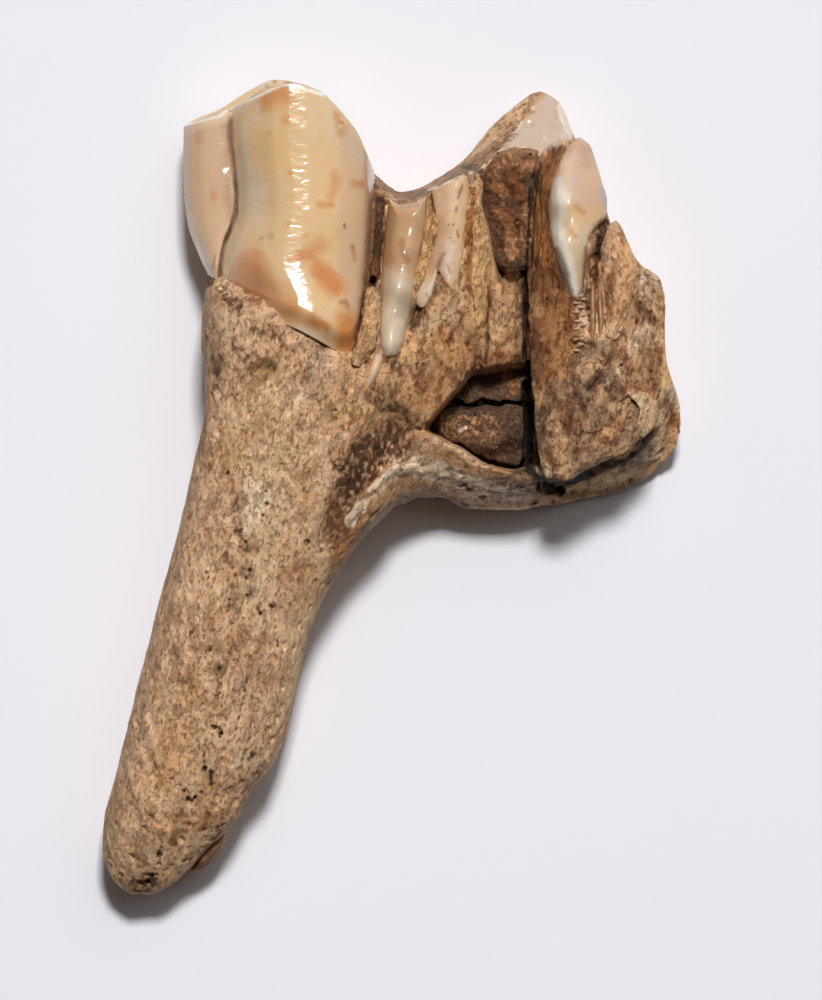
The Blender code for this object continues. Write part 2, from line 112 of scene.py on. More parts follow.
# Front lobe, as stations round its outline: share of its width from the left edge, share of its
# thickness from the back, Y of the chewing edge and Y of the lower edge
FRONT_LOBE = [
    (0.00, 0.46, 19.3, 11.3),
    (0.05, 0.59, 19.4, 11.2),
    (0.12, 0.65, 19.7, 11.1),
    (0.20, 0.675, 20.1, 11.0),
    (0.235, 0.672, 20.2, 11.0),
    (0.255, 0.655, 20.3, 11.0),
    (0.28, 0.69, 20.4, 10.3),
    (0.33, 0.79, 20.6, 9.65),
    (0.43, 0.925, 21.1, 8.95),
    (0.50, 0.98, 21.3, 8.55),
    (0.57, 1.00, 21.5, 8.25),
    (0.64, 0.997, 21.4, 7.9),
    (0.72, 0.982, 21.1, 7.5),
    (0.80, 0.96, 20.4, 7.1),
    (0.86, 0.937, 19.7, 6.95),
    (0.93, 0.885, 18.7, 7.7),
    (0.96, 0.83, 17.9, 8.7),
    (1.00, 0.52, 16.9, 9.6),
    (0.99, 0.25, 17.0, 9.8),
    (0.93, 0.08, 18.4, 10.2),
    (0.80, 0.02, 20.5, 10.5),
    (0.64, 0.04, 21.65, 10.7),
    (0.48, 0.00, 21.95, 10.8),
    (0.33, 0.02, 21.25, 10.9),
    (0.20, 0.04, 20.4, 11.1),
    (0.09, 0.12, 19.9, 11.3),
    (0.02, 0.26, 19.5, 11.4),
]
# Y, left edge, right edge, lowest and highest point of the front lobe
FRONT_LOBE_SIZE = [
    (22.2, -11.2, -1.0, 0.6, 8.7),
    (19.3, -11.2, -1.0, 0.3, 9.05),
    (16.2, -11.2, -0.9, 0.2, 9.4),
    (14.1, -11.0, -0.95, 0.1, 9.65),
    (12.3, -10.35, -1.0, 0.0, 9.84),
    (10.8, -9.7, -1.2, 0.0, 10.1),
    (10.0, -9.5, -1.25, 0.0, 10.29),
    (9.2, -9.4, -1.3, 0.0, 10.48),
    (8.2, -9.4, -1.3, 0.0, 10.62),
    (7.0, -9.4, -1.3, 0.1, 10.4),
]

# Middle and back of the tooth, from front to back: X, Y of the lower edge, Y of the chewing edge at
# the cheek side and at the tongue side, and the lowest point
BLOCK = [
    (-1.8, 2.0, 16.8, 17.8, 0.5),
    (-1.0, 0.0, 16.1, 17.1, 0.3),
    (-0.3, -1.0, 15.5, 16.5, 0.2),
    (0.5, -1.1, 15.1, 16.0, 0.1),
    (1.5, -0.7, 15.4, 16.2, 0.0),
    (2.7, -0.7, 16.2, 16.8, 0.0),
    (4.0, -1.3, 16.9, 17.8, 0.0),
    (5.4, -1.4, 17.7, 19.7, 0.1),
    (6.9, -1.4, 18.2, 21.1, 0.0),
    (8.0, -1.2, 18.4, 21.8, 0.0),
    (9.1, -1.1, 18.3, 21.2, 0.0),
    (9.9, -0.9, 17.5, 19.2, 0.0),
    (11.0, -0.7, 15.5, 15.9, 0.1),
    (12.1, -0.5, 12.9, 13.2, 0.2),
    (13.4, 0.1, 11.4, 11.6, 0.4),
    (14.4, 0.8, 9.6, 9.8, 0.9),
    (15.0, 1.4, 6.2, 6.2, 1.4),
    (15.4, 2.0, 5.1, 5.1, 1.9),
    (15.7, 3.1, 4.0, 4.0, 2.8),
]
# Spot heights of the cheek side there, in front of the long crack and behind it: X, Y, Z
MIDDLE_HEIGHTS = {
    "valley": [(-0.5, 15.5, 6.0), (-0.7, 12.9, 6.4), (-1.1, 10.2, 7.0), (-1.6, 8.0, 8.4)],
    "first_ridge": [
        (0.8, 15.0, 7.2), (0.6, 12.5, 7.75), (0.3, 10.5, 8.2), (-0.1, 8.2, 8.7), (-0.5, 6.8, 9.0),
    ],
    "between_ridges": [
        (1.9, 15.6, 7.1), (1.8, 13.5, 7.4), (1.6, 11.5, 7.7), (1.3, 9.3, 8.0), (1.2, 7.6, 8.5),
    ],
    "second_ridge": [
        (3.7, 16.4, 7.3), (3.2, 14.0, 7.9), (2.9, 12.0, 8.2), (2.3, 10.5, 8.4), (1.9, 9.3, 8.6),
    ],
    "broken_dentine": [
        (4.6, 15.8, 6.9), (5.0, 14.0, 7.0), (5.2, 12.3, 7.1), (5.0, 10.5, 7.4), (5.0, 8.5, 7.5),
    ],
    "cavity_edge": [(5.4, 7.0, 7.2), (4.3, 6.6, 7.7), (3.0, 5.0, 8.1), (1.9, 3.9, 8.4), (1.0, 3.0, 8.4)],
    "neck": [(3.5, 9.0, 8.2), (2.5, 7.5, 8.5), (1.0, 5.5, 9.0), (-1.0, 3.5, 9.0), (0.0, 1.6, 8.2)],
    "cavity_rim": [(1.4, 2.0, 7.8), (2.5, 1.4, 7.3), (3.9, 0.7, 6.8), (5.0, 0.2, 6.4), (7.6, -0.2, 5.8)],
    "lower_rim": [
        (0.6, 0.0, 7.2), (2.7, -0.4, 5.4), (4.0, -0.9, 4.6), (6.9, -1.1, 4.0), (9.0, -0.8, 2.0),
    ],
    "tongue": [(6.3, 11.0, 6.5), (6.4, 8.5, 6.9), (6.3, 6.9, 6.7), (7.1, 9.5, 6.7), (7.1, 7.2, 6.6)],
    "fossette": [
        (5.6, 17.0, 6.4), (6.6, 15.0, 6.4), (6.6, 13.0, 6.4), (7.2, 17.2, 5.8), (7.4, 20.0, 4.6),
    ],
}
BACK_HEIGHTS = {
    "tongue_peak": [(7.4, 17.6, 5.6), (7.4, 20.0, 4.6), (9.0, 20.0, 4.2), (10.4, 16.0, 4.4)],
    "back_lobe": [
        (9.4, 17.8, 4.8), (9.4, 14.0, 5.0), (9.4, 10.6, 5.0), (11.6, 12.0, 5.4), (13.6, 9.6, 5.0),
    ],
    "beside_crack": [(7.8, 15.0, 4.6), (7.5, 12.0, 4.2), (7.5, 8.0, 3.8), (7.8, 4.0, 3.2)],
    "under_slab": [
        (8.4, 7.0, 3.6), (8.6, 4.0, 2.9), (11.0, 6.0, 3.3), (11.0, 2.6, 2.9), (13.4, 6.6, 4.0),
    ],
    "back_lip": [
        (10.0, 0.4, 2.7), (12.0, 0.6, 2.8), (13.2, 1.4, 3.1), (14.2, 2.8, 3.7), (14.7, 4.4, 4.3),
        (14.4, 6.0, 4.6),
    ],
    "back_rim": [
        (10.0, -0.6, 1.3), (12.0, -0.2, 1.3), (13.4, 0.6, 1.5), (14.6, 1.6, 1.9), (15.3, 2.8, 2.4),
        (15.4, 4.2, 2.9),
    ],
    "lower_rim": [(8.4, 0.0, 4.2), (9.0, -0.7, 2.2)],
}
# The long crack: the width of the step down behind it, and its Y and X
CRACK_STEP = 0.15
CRACK = [
    (18.5, 8.3), (17.2, 7.9), (15.3, 7.6), (13.4, 7.4), (12.0, 7.3), (9.9, 7.3),
    (7.8, 7.3), (5.6, 7.35), (3.5, 7.6), (0.8, 8.0), (-1.5, 8.6),
]

# Slab of the back lobe: Y, left edge, right edge and lowest point
SLAB = [
    (18.6, 9.0, 10.3, 4.4),
    (18.2, 8.4, 10.6, 4.0),
    (17.5, 8.1, 10.9, 3.8),
    (16.4, 7.9, 11.2, 3.6),
    (15.3, 7.8, 11.5, 3.5),
    (14.1, 7.7, 11.8, 3.5),
    (13.2, 7.65, 12.6, 3.5),
    (12.0, 7.6, 13.3, 3.6),
    (11.0, 7.55, 14.5, 3.8),
    (9.9, 7.55, 14.8, 4.2),
    (8.6, 7.5, 14.8, 4.9),
    (7.6, 7.5, 14.8, 5.6),
    (6.4, 7.5, 14.6, 6.0),
    (5.3, 7.55, 14.5, 6.1),
    (4.3, 7.75, 14.4, 6.2),
    (3.4, 7.7, 14.1, 6.3),
    (2.6, 7.8, 13.5, 6.3),
    (1.8, 7.9, 12.8, 6.4),
    (1.2, 8.0, 11.4, 6.4),
    (0.6, 8.1, 10.2, 6.5),
    (0.2, 8.4, 9.7, 6.7),
]
SLAB_HEIGHTS = {
    "crack_side": [
        (8.3, 17.3, 5.6), (8.0, 14.6, 5.8), (7.8, 12.0, 6.4), (7.7, 8.5, 6.9), (7.8, 5.0, 7.2),
        (8.2, 1.5, 7.4),
    ],
    "brown_dentine": [(8.6, 14.0, 6.9), (8.8, 11.0, 7.3), (9.0, 8.5, 7.5)],
    "enamel_crest": [
        (9.7, 18.3, 6.7), (9.3, 16.8, 7.5), (9.1, 15.0, 8.0), (9.1, 13.2, 8.4), (9.5, 11.5, 8.4),
        (10.0, 10.0, 8.2), (10.2, 8.0, 8.1),
    ],
    "enamel_right": [(10.6, 17.0, 6.6), (11.3, 15.0, 6.7), (11.5, 14.0, 6.8)],
    "groove": [(11.3, 13.2, 7.5), (11.2, 11.5, 7.4), (11.3, 9.5, 7.5)],
    "second_crest": [(12.3, 13.0, 7.1), (12.7, 11.5, 7.9), (12.9, 9.6, 8.1), (12.6, 8.0, 8.0)],
    "right_side": [
        (13.7, 10.2, 6.9), (14.5, 10.2, 5.8), (14.5, 8.0, 6.4), (14.3, 6.0, 6.9), (14.2, 4.5, 7.0),
    ],
    "broken_face": [
        (9.0, 6.0, 7.8), (11.0, 6.5, 8.3), (13.0, 6.4, 8.0), (9.2, 3.5, 8.0), (11.0, 3.8, 8.4),
        (13.0, 4.2, 7.9),
    ],
    "lower_edge": [
        (9.0, 1.2, 7.9), (10.4, 1.6, 8.1), (11.8, 2.2, 8.0), (12.9, 2.7, 7.7), (13.8, 3.6, 7.3),
    ],
}

# Hollows sunk into the cheek side: outline and height of the floor
PULP_CAVITY = [
    (4.5, 6.3), (5.7, 6.4), (6.9, 6.4), (8.0, 6.2), (8.4, 2.4), (8.2, 0.9),
    (6.4, 0.6), (4.9, 1.0), (3.8, 1.8), (2.6, 2.4), (1.6, 2.9), (2.6, 4.1), (3.5, 5.1),
]
PULP_CAVITY_FLOOR = 3.2
FOSSETTE = [
    (5.0, 16.8), (6.2, 17.6), (7.9, 17.8), (8.0, 16.4), (7.9, 14.8), (7.6, 12.6),
    (7.2, 10.8), (6.4, 10.2), (5.8, 10.9), (5.5, 12.1), (5.2, 13.7), (4.8, 15.1),
]
FOSSETTE_FLOOR = 4.3


def follow(table, at):
    """The table's other columns at each value of its first, on a smooth curve that never overshoots."""
    rows = np.array(table, float)
    rows = rows[np.argsort(rows[:, 0])]
    x, y = rows[:, 0], rows[:, 1:]
    slope = np.diff(y, axis=0) / np.diff(x)[:, None]
    before, after = slope[:-1], slope[1:]
    same_way = before * after > 0
    total = np.where(same_way, before + after, 1.0)
    middle = np.where(same_way, 2 * before * after / total, 0.0)
    tangent = np.vstack([slope[:1], middle, slope[-1:]])
    at = np.clip(at, x[0], x[-1])
    cell = np.clip(np.searchsorted(x, at) - 1, 0, len(x) - 2)
    width = (x[cell + 1] - x[cell])[:, None]
    t = ((at - x[cell])[:, None]) / width
    start, end = y[cell], y[cell + 1]
    lift = tangent[cell] * width * t * (1 - t) ** 2 - tangent[cell + 1] * width * t**2 * (1 - t)
    return start + (end - start) * t**2 * (3 - 2 * t) + lift


def surface_over(heights):
    """A thin-plate surface through spot heights, as a function of X and Y."""
    spots = np.array([spot for line in heights.values() for spot in line], float)

    def kernel(points):
        gap = np.linalg.norm(points[:, None, :] - spots[None, :, :2], axis=2) + 1e-9
        return gap**2 * np.log(gap)

    def plane(points):
        return np.column_stack([np.ones(len(points)), points])

    count = len(spots)
    system = np.zeros((count + 3, count + 3))
    system[:count, :count] = kernel(spots[:, :2])
    system[:count, count:] = plane(spots[:, :2])
    system[count:, :count] = system[:count, count:].T
    weights = np.linalg.solve(system, np.append(spots[:, 2], np.zeros(3)))

    def height(x, y):
        points = np.column_stack([np.ravel(x), np.ravel(y)])
        found = kernel(points) @ weights[:count] + plane(points) @ weights[count:]
        return found.reshape(np.shape(x))

    return height


def distance_to_line(x, y, line):
    """Distance from each point to a line through several points, or to the one point given."""
    line = np.array(line, float)
    if len(line) == 1:
        return np.hypot(x - line[0, 0], y - line[0, 1])
    nearest = np.full(np.shape(x), np.inf)
    for a, b in zip(line[:-1], line[1:]):
        along = b - a
        share = np.clip(((x - a[0]) * along[0] + (y - a[1]) * along[1]) / (along @ along), 0, 1)
        nearest = np.minimum(nearest, np.hypot(x - a[0] - share * along[0], y - a[1] - share * along[1]))
    return nearest


def depth_inside(x, y, outline):
    """How far each point is inside an outline, below zero outside it."""
    inside = np.zeros(np.shape(x), bool)
    for (ax, ay), (bx, by) in zip(outline, outline[1:] + outline[:1]):
        crosses = (ay > y) != (by > y)
        rise = by - ay if by != ay else 1.0
        inside ^= crosses & (x < (bx - ax) * (y - ay) / rise + ax)
    distance = distance_to_line(x, y, outline + outline[:1])
    return np.where(inside, distance, -distance)


def smooth_step(value):
    """Zero below 0, one above 1, and a smooth curve between."""
    value = np.clip(value, 0, 1)
    return value * value * (3 - 2 * value)


def sink(height, x, y, outline, floor, softness=0.25):
    """Lowers a height to a floor inside an outline, with a wall that slopes over the softness."""
    share = smooth_step(depth_inside(x, y, outline) / softness)
    return height + (np.minimum(floor, height) - height) * share


def random_of(cell, seed):
    """A repeatable random number from 0 to 1 for each whole-numbered cell."""
    mixed = cell[..., 0] * 374761393 + cell[..., 1] * 668265263 + cell[..., 2] * 1442695041 + seed * 974634777
    mixed = (mixed ^ (mixed >> 13)) * 1274126177
    mixed = mixed ^ (mixed >> 16)
    return (mixed & 0xFFFFFF) / 0xFFFFFF


def noise(points, size, seed):
    """Smooth noise from -1 to 1, with the given size of its lumps along each axis."""
    scaled = points / np.array(size, float)
    cell = np.floor(scaled).astype(np.int64)
    share = smooth_step(scaled - cell)
    total = 0.0
    for dx in (0, 1):
        for dy in (0, 1):
            for dz in (0, 1):
                weight = np.ones(len(points))
                for axis, side in enumerate((dx, dy, dz)):
                    weight = weight * (share[:, axis] if side else 1 - share[:, axis])
                total = total + weight * random_of(cell + np.array((dx, dy, dz)), seed)
    return 2 * total - 1


def rough_noise(points, size, seed, layers=3):
    """Noise with finer layers on top, each half as large and half as strong."""
    total, strength = 0.0, 1.0
    for layer in range(layers):
        total = total + strength * noise(points, np.array(size, float) / 2**layer, seed + 17 * layer)
        strength *= 0.5
    return total / 1.6


def grains(points, size, seed):
    """Distance to the nearest of one random point in each cell, and a random number for that point."""
    scaled = points / np.array(size, float)
    cell = np.floor(scaled).astype(np.int64)
    nearest = np.full(len(points), np.inf)
    label = np.zeros(len(points))
    for dx in (-1, 0, 1):
        for dy in (-1, 0, 1):
            for dz in (-1, 0, 1):
                near = cell + np.array((dx, dy, dz))
                gap = 0.0
                for axis in range(3):
                    gap = gap + (near[:, axis] + random_of(near, seed + axis) - scaled[:, axis]) ** 2
                closer = gap < nearest
                nearest = np.where(closer, gap, nearest)
                label = np.where(closer, random_of(near, seed + 5), label)
    return np.sqrt(nearest), label


def pixel_of(points):
    """Where points in the tooth's own measure lie in the photograph."""
    return PHOTO_MIDDLE[0] + points[:, 0] / PIXEL, PHOTO_MIDDLE[1] - points[:, 1] / PIXEL


def from_pixel(px, py):
    """X and Y, in the tooth's own measure, of a place in the photograph."""
    return (px - PHOTO_MIDDLE[0]) * PIXEL, (PHOTO_MIDDLE[1] - py) * PIXEL


def linear(colour):
    """The share of light that a surface reflects, from its colour in the photograph."""
    value = np.array(colour) / 255
    return np.where(value <= 0.04045, value / 12.92, ((value + 0.055) / 1.055) ** 2.4)


# Size in millimetres of the waves by which the marks' edges stray
STRAY = (0.7, 0.7, 0.7)
FINE_STRAY = (0.2, 0.2, 0.2)


def tinted(points, zones, marks, shown, rough, soft, seed):
    """Colour laid on each point, zones first and marks over them, with the share that it covers.

    Rough is how far the marks' edges stray in pixels, and soft is how far they fade, as a share of the
    mark's half width. Dark colours, laid for dirt and for painted shade alike, are broken up into specks.
    """
    px, py = pixel_of(points)
    stray_x = rough * (noise(points, STRAY, seed) + 0.7 * noise(points, FINE_STRAY, seed + 1))
    stray_y = rough * (noise(points, STRAY, seed + 2) + 0.7 * noise(points, FINE_STRAY, seed + 3))
    wander = rough_noise(points, (0.9, 0.9, 0.9), seed + 4)
    specks = 0.3 + 0.7 * smooth_step(0.6 + 2 * noise(points, (0.17, 0.22, 0.17), seed + 5))
    tint = np.zeros((len(points), 3))
    share = np.zeros(len(points))
    layers = [(colour, strength, None, outline) for colour, strength, outline in zones] + marks
    for colour, strength, half_width, line in layers:
        corners = np.array(line, float)
        reach = 12 if half_width is None else 2.2 * half_width
        low, high = corners.min(axis=0) - reach, corners.max(axis=0) + reach
        near = np.flatnonzero((px > low[0]) & (px < high[0]) & (py > low[1]) & (py < high[1]))
        stray = 1.5 if half_width is None else min(1.0, half_width / 4)
        x, y = px[near] + stray * stray_x[near], py[near] + stray * stray_y[near]
        if half_width is None:
            cover = smooth_step((depth_inside(x, y, line) + 5 * wander[near]) / 5 + 0.5)
        else:
            gap = distance_to_line(x, y, line) / half_width
            cover = smooth_step((1.1 + soft - gap - 0.45 * wander[near]) / (2 * soft))
            if colour in DARK_DIRT_AND_SHADE and rough > 1.5 and strength < 0.85:
                cover *= specks[near]
        cover = cover * strength * shown[near]
        covered = share[near] + (1 - share[near]) * cover
        part = (cover / np.maximum(covered, 1e-6))[:, None]
        tint[near] += (linear(PALETTE[colour]) - tint[near]) * part
        share[near] = covered
    return np.column_stack([tint, share])


def ring_angles(count):
    """Angles evenly round a circle."""
    return np.linspace(0, 2 * math.pi, count, endpoint=False)


def rounded(value, power):
    """A cosine or sine squared off, so that a ring of them fills more of its box."""
    return np.sign(value) * np.abs(value) ** (2 / power)


def loft(rings):
    """Points and faces of a closed solid through rings of points, with both ends capped by a fan."""
    count, around = len(rings), len(rings[0])
    points = np.vstack(list(rings) + [np.mean(rings[0], axis=0), np.mean(rings[-1], axis=0)])
    i = np.arange(around)
    j = (i + 1) % around
    faces = []
    for row in range(count - 1):
        here, there = row * around, (row + 1) * around
        faces += np.column_stack([here + i, here + j, there + j, there + i]).tolist()
    last = (count - 1) * around
    first_centre, last_centre = count * around, count * around + 1
    faces += np.column_stack([j, i, np.full(around, first_centre)]).tolist()
    faces += np.column_stack([last + i, last + j, np.full(around, last_centre)]).tolist()
    return points, faces


def root():
    """The long root, from inside the crown to its broken tip."""
    levels = np.linspace(ROOT[0][0], ROOT[-1][0], ROOT_GRID[0])
    angles = ring_angles(ROOT_GRID[1])
    rings = []
    for y, (left, right, low, high) in zip(levels, follow(ROOT, levels)):
        x = (left + right) / 2 + (right - left) / 2 * rounded(np.cos(angles), ROOT_POWER)
        z = (low + high) / 2 + (high - low) / 2 * rounded(np.sin(angles), ROOT_POWER)
        rings.append(np.column_stack([x, np.full(len(x), y), z]))
    return loft(rings)


def block_height(x, y):
    """Height of the cheek side of the middle and back of the tooth."""
    crack = follow(CRACK, np.ravel(y))[:, 0].reshape(np.shape(y))
    behind = smooth_step((x - crack) / CRACK_STEP + 0.5)
    high = MIDDLE_SURFACE(x, y) * (1 - behind) + BACK_SURFACE(x, y) * behind
    high = sink(high, x, y, PULP_CAVITY, PULP_CAVITY_FLOOR)
    return sink(high, x, y, FOSSETTE, FOSSETTE_FLOOR)


def middle_and_back():
    """The rest of the crown and the stump of the back root, with the two hollows broken into it."""
    places = np.linspace(BLOCK[0][0], BLOCK[-1][0], BLOCK_GRID[0])
    angles = ring_angles(BLOCK_GRID[1])
    rings = []
    for x, (bottom, top, top_behind, low) in zip(places, follow(BLOCK, places)):
        along = rounded(np.cos(angles), BLOCK_POWER)
        up = rounded(np.sin(angles), BLOCK_POWER)
        y = (top + bottom) / 2 + (top - bottom) / 2 * along
        y += (top_behind - top) * smooth_step(along) * smooth_step(0.5 - up / 2)
        across = np.full(len(y), x)
        high = block_height(across, np.clip(y, bottom + 0.3, top - 0.3))
        z = low + (np.maximum(high, low + 0.6) - low) * (up + 1) / 2
        rings.append(np.column_stack([across, y, z]))
    return loft(rings)


def slab():
    """The cheek wall of the back lobe, which a crack parts from the rest and which overhangs below."""
    levels = np.linspace(SLAB[0][0], SLAB[-1][0], SLAB_GRID[0])
    angles = ring_angles(SLAB_GRID[1])
    rings = []
    for y, (left, right, low) in zip(levels, follow(SLAB, levels)):
        across = (left + right) / 2 + (right - left) / 2 * rounded(np.cos(angles), SLAB_POWER)
        along = np.full(len(across), y)
        up = rounded(np.sin(angles), SLAB_POWER)
        high = SLAB_SURFACE(np.clip(across, left + 0.15, right - 0.2), along)
        rings.append(np.column_stack([across, along, low + (high - low) * (up + 1) / 2]))
    return loft(rings)


MIDDLE_SURFACE = surface_over(MIDDLE_HEIGHTS)
BACK_SURFACE = surface_over(BACK_HEIGHTS)
SLAB_SURFACE = surface_over(SLAB_HEIGHTS)


def mesh_of(name, points, faces):
    """A mesh whose faces all look outwards."""
    data = bpy.data.meshes.new(name)
    data.from_pydata(points.tolist(), [], faces)
    mesh = bmesh.new()
    mesh.from_mesh(data)
    bmesh.ops.recalc_face_normals(mesh, faces=mesh.faces)
    mesh.to_mesh(data)
    mesh.free()
    return data


def points_of(data):
    """The mesh's points, one to a row."""
    flat = np.empty(len(data.vertices) * 3)
    data.vertices.foreach_get("co", flat)
    return flat.reshape(-1, 3)


def normals_of(data):
    """The normal at each point of the mesh."""
    flat = np.empty(len(data.vertices) * 3)
    data.vertices.foreach_get("normal", flat)
    return flat.reshape(-1, 3)


def move_points(data, points):
    """Puts the mesh's points at the places given."""
    data.vertices.foreach_set("co", points.ravel())
    data.update()


def store(data, name, values):
    """Keeps one number a vertex for the material to read."""
    layer = data.attributes.new(name, "FLOAT", "POINT")
    layer.data.foreach_set("value", np.ascontiguousarray(values, dtype=np.float32))


def one_skin(solids):
    """One skin round several overlapping solids."""
    mesh = bmesh.new()
    for points, faces in solids:
        part = mesh_of("part", points, faces)
        mesh.from_mesh(part)
        bpy.data.meshes.remove(part)
    bmesh.ops.recalc_face_normals(mesh, faces=mesh.faces)
    data = bpy.data.meshes.new("skin")
    mesh.to_mesh(data)
    mesh.free()
    obj = bpy.data.objects.new("skin", data)
    bpy.context.scene.collection.objects.link(obj)
    remesh = obj.modifiers.new("one_skin", "REMESH")
    remesh.mode = "VOXEL"
    remesh.voxel_size = SKIN_STEP
    soften = obj.modifiers.new("soften", "SMOOTH")
    soften.factor = 0.5
    soften.iterations = SKIN_SMOOTHING
    graph = bpy.context.evaluated_depsgraph_get()
    made = bpy.data.meshes.new_from_object(obj.evaluated_get(graph))
    bpy.data.objects.remove(obj)
    bpy.data.meshes.remove(data)
    return made


def refine(data):
    """Cuts each face of the mesh that faces up in four."""
    normals = np.empty(len(data.polygons) * 3)
    data.polygons.foreach_get("normal", normals)
    chosen = normals.reshape(-1, 3)[:, 2] > FINE_ABOVE
    mesh = bmesh.new()
    mesh.from_mesh(data)
    mesh.faces.ensure_lookup_table()
    mesh.edges.ensure_lookup_table()
    numbers = {edge.index for face in np.flatnonzero(chosen) for edge in mesh.faces[face].edges}
    edges = [mesh.edges[number] for number in sorted(numbers)]
    bmesh.ops.subdivide_edges(mesh, edges=edges, cuts=1, use_grid_fill=True)
    mesh.to_mesh(data)
    mesh.free()


def in_frame(points):
    """Points in the tooth's own measure as metres in the shared frame, inside the model's box."""
    moved = (points - np.array((*MIDDLE, FLAT_DEPTH))) * MM
    return np.clip(moved, np.array(CAD_BOX[0]), np.array(CAD_BOX[1]))


def piece(name, data, material, replaced=()):
    """Puts a finished mesh, still in millimetres, into the scene as a piece of the tooth."""
    move_points(data, in_frame(points_of(data)))
    data.shade_smooth()
    finished(name, data, material, replaced)


def finished(name, data, material, replaced=()):
    """Puts a finished mesh that is already in the shared frame into the scene as a piece of the tooth."""
    data.name = name
    data.materials.clear()
    data.materials.append(material)
    obj = bpy.data.objects.new(name, data)
    bpy.context.scene.collection.objects.link(obj)
    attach(obj, "root")
    if replaced:
        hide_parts(*replaced)


# Colours as they look in the photograph, from 0 to 255
# The near-black colour is laid mostly as painted shade in cracks, gaps and hollows, and also in small holes
PALETTE = {
    "straw": (206, 166, 116), "tan": (188, 148, 108), "sand": (202, 164, 124), "ochre": (178, 130, 82),
    "amber": (190, 132, 76), "rust": (152, 92, 50), "umber": (122, 84, 56), "dark": (86, 60, 43),
    "near_black": (40, 29, 24), "chalk": (226, 204, 176), "cream": (212, 184, 146), "grey": (156, 127, 101),
    "cool": (174, 144, 118), "lilac": (182, 168, 164), "olive": (116, 94, 64), "stain": (198, 124, 64),
    "honey": (216, 178, 126), "blush": (206, 170, 136), "ivory": (222, 198, 164),
    "white": (238, 230, 216), "pearl": (202, 182, 156), "brick": (146, 98, 62), "peach": (210, 164, 118),
    "peak": (190, 171, 156), "rose": (210, 180, 160),
}
# Dark colours, laid both for dirt and for painted shade in cracks, gaps and recesses
DARK_DIRT_AND_SHADE = ("near_black", "dark", "umber")
# Broad colours of the broken crown, from the photograph: colour, strength and outline in pixels
BODY_ZONES = [
    # Painted shade: near-black over the deep crack at the right wall of the root cavity
    ("near_black", 0.95, [(516, 364), (534, 364), (540, 420), (542, 476), (514, 474)]),
    ("tan", 0.8, [
        (372, 350), (400, 300), (440, 262), (512, 300), (512, 365), (470, 372), (437, 408), (425, 440),
        (380, 440), (362, 400),
    ]),
    ("tan", 0.8, [
        (350, 540), (366, 494), (400, 464), (440, 446), (480, 470), (530, 476), (566, 492), (560, 512),
        (430, 500), (380, 520),
    ]),
    ("brick", 0.75, [
        (572, 145), (548, 150), (536, 190), (528, 260), (526, 370), (533, 410), (560, 412), (576, 390),
        (576, 300), (562, 250), (552, 215), (553, 180),
    ]),
    ("grey", 0.75, [
        (533, 405), (575, 345), (610, 340), (628, 395), (655, 430), (636, 446), (600, 464), (576, 480),
        (534, 480),
    ]),
    ("tan", 0.8, [(604, 300), (640, 258), (672, 280), (664, 395), (628, 396), (608, 350)]),
    # The back wall in its own honey colour, made paler than that as painted light where the slab shades it
    ("honey", 0.9, [
        (664, 300), (676, 370), (684, 420), (676, 455), (640, 478), (606, 500), (566, 494), (604, 464),
        (640, 442), (660, 402),
    ]),
    ("tan", 0.7, [(424, 188), (452, 180), (446, 240), (420, 312), (404, 330), (414, 260)]),
    ("grey", 0.9, [
        (369, 165), (400, 186), (434, 184), (462, 168), (500, 146), (540, 92), (548, 92), (505, 160),
        (470, 182), (434, 196), (404, 204), (380, 200),
    ]),
    ("ochre", 0.8, [(464, 178), (474, 200), (476, 300), (464, 300), (462, 240), (468, 210)]),
    ("straw", 0.9, [(474, 208), (488, 224), (493, 256), (503, 280), (486, 345), (470, 330), (474, 270)]),
    ("tan", 0.85, [(488, 280), (508, 262), (522, 282), (522, 360), (488, 360)]),
    ("ochre", 0.7, [(486, 354), (520, 350), (524, 394), (502, 384), (482, 368)]),
    ("peak", 0.95, [
        (500, 150), (530, 112), (545, 94), (562, 100), (574, 136), (556, 146), (540, 156), (526, 148),
    ]),
    ("umber", 0.8, [(372, 182), (388, 190), (382, 250), (378, 310), (362, 300), (370, 240)]),
]
# Smooth enamel at the top of the back lobe
GLAZED = [
    (500, 152), (516, 130), (530, 111), (543, 90), (560, 90), (578, 134), (560, 146), (546, 152),
    (536, 158), (528, 149),
]
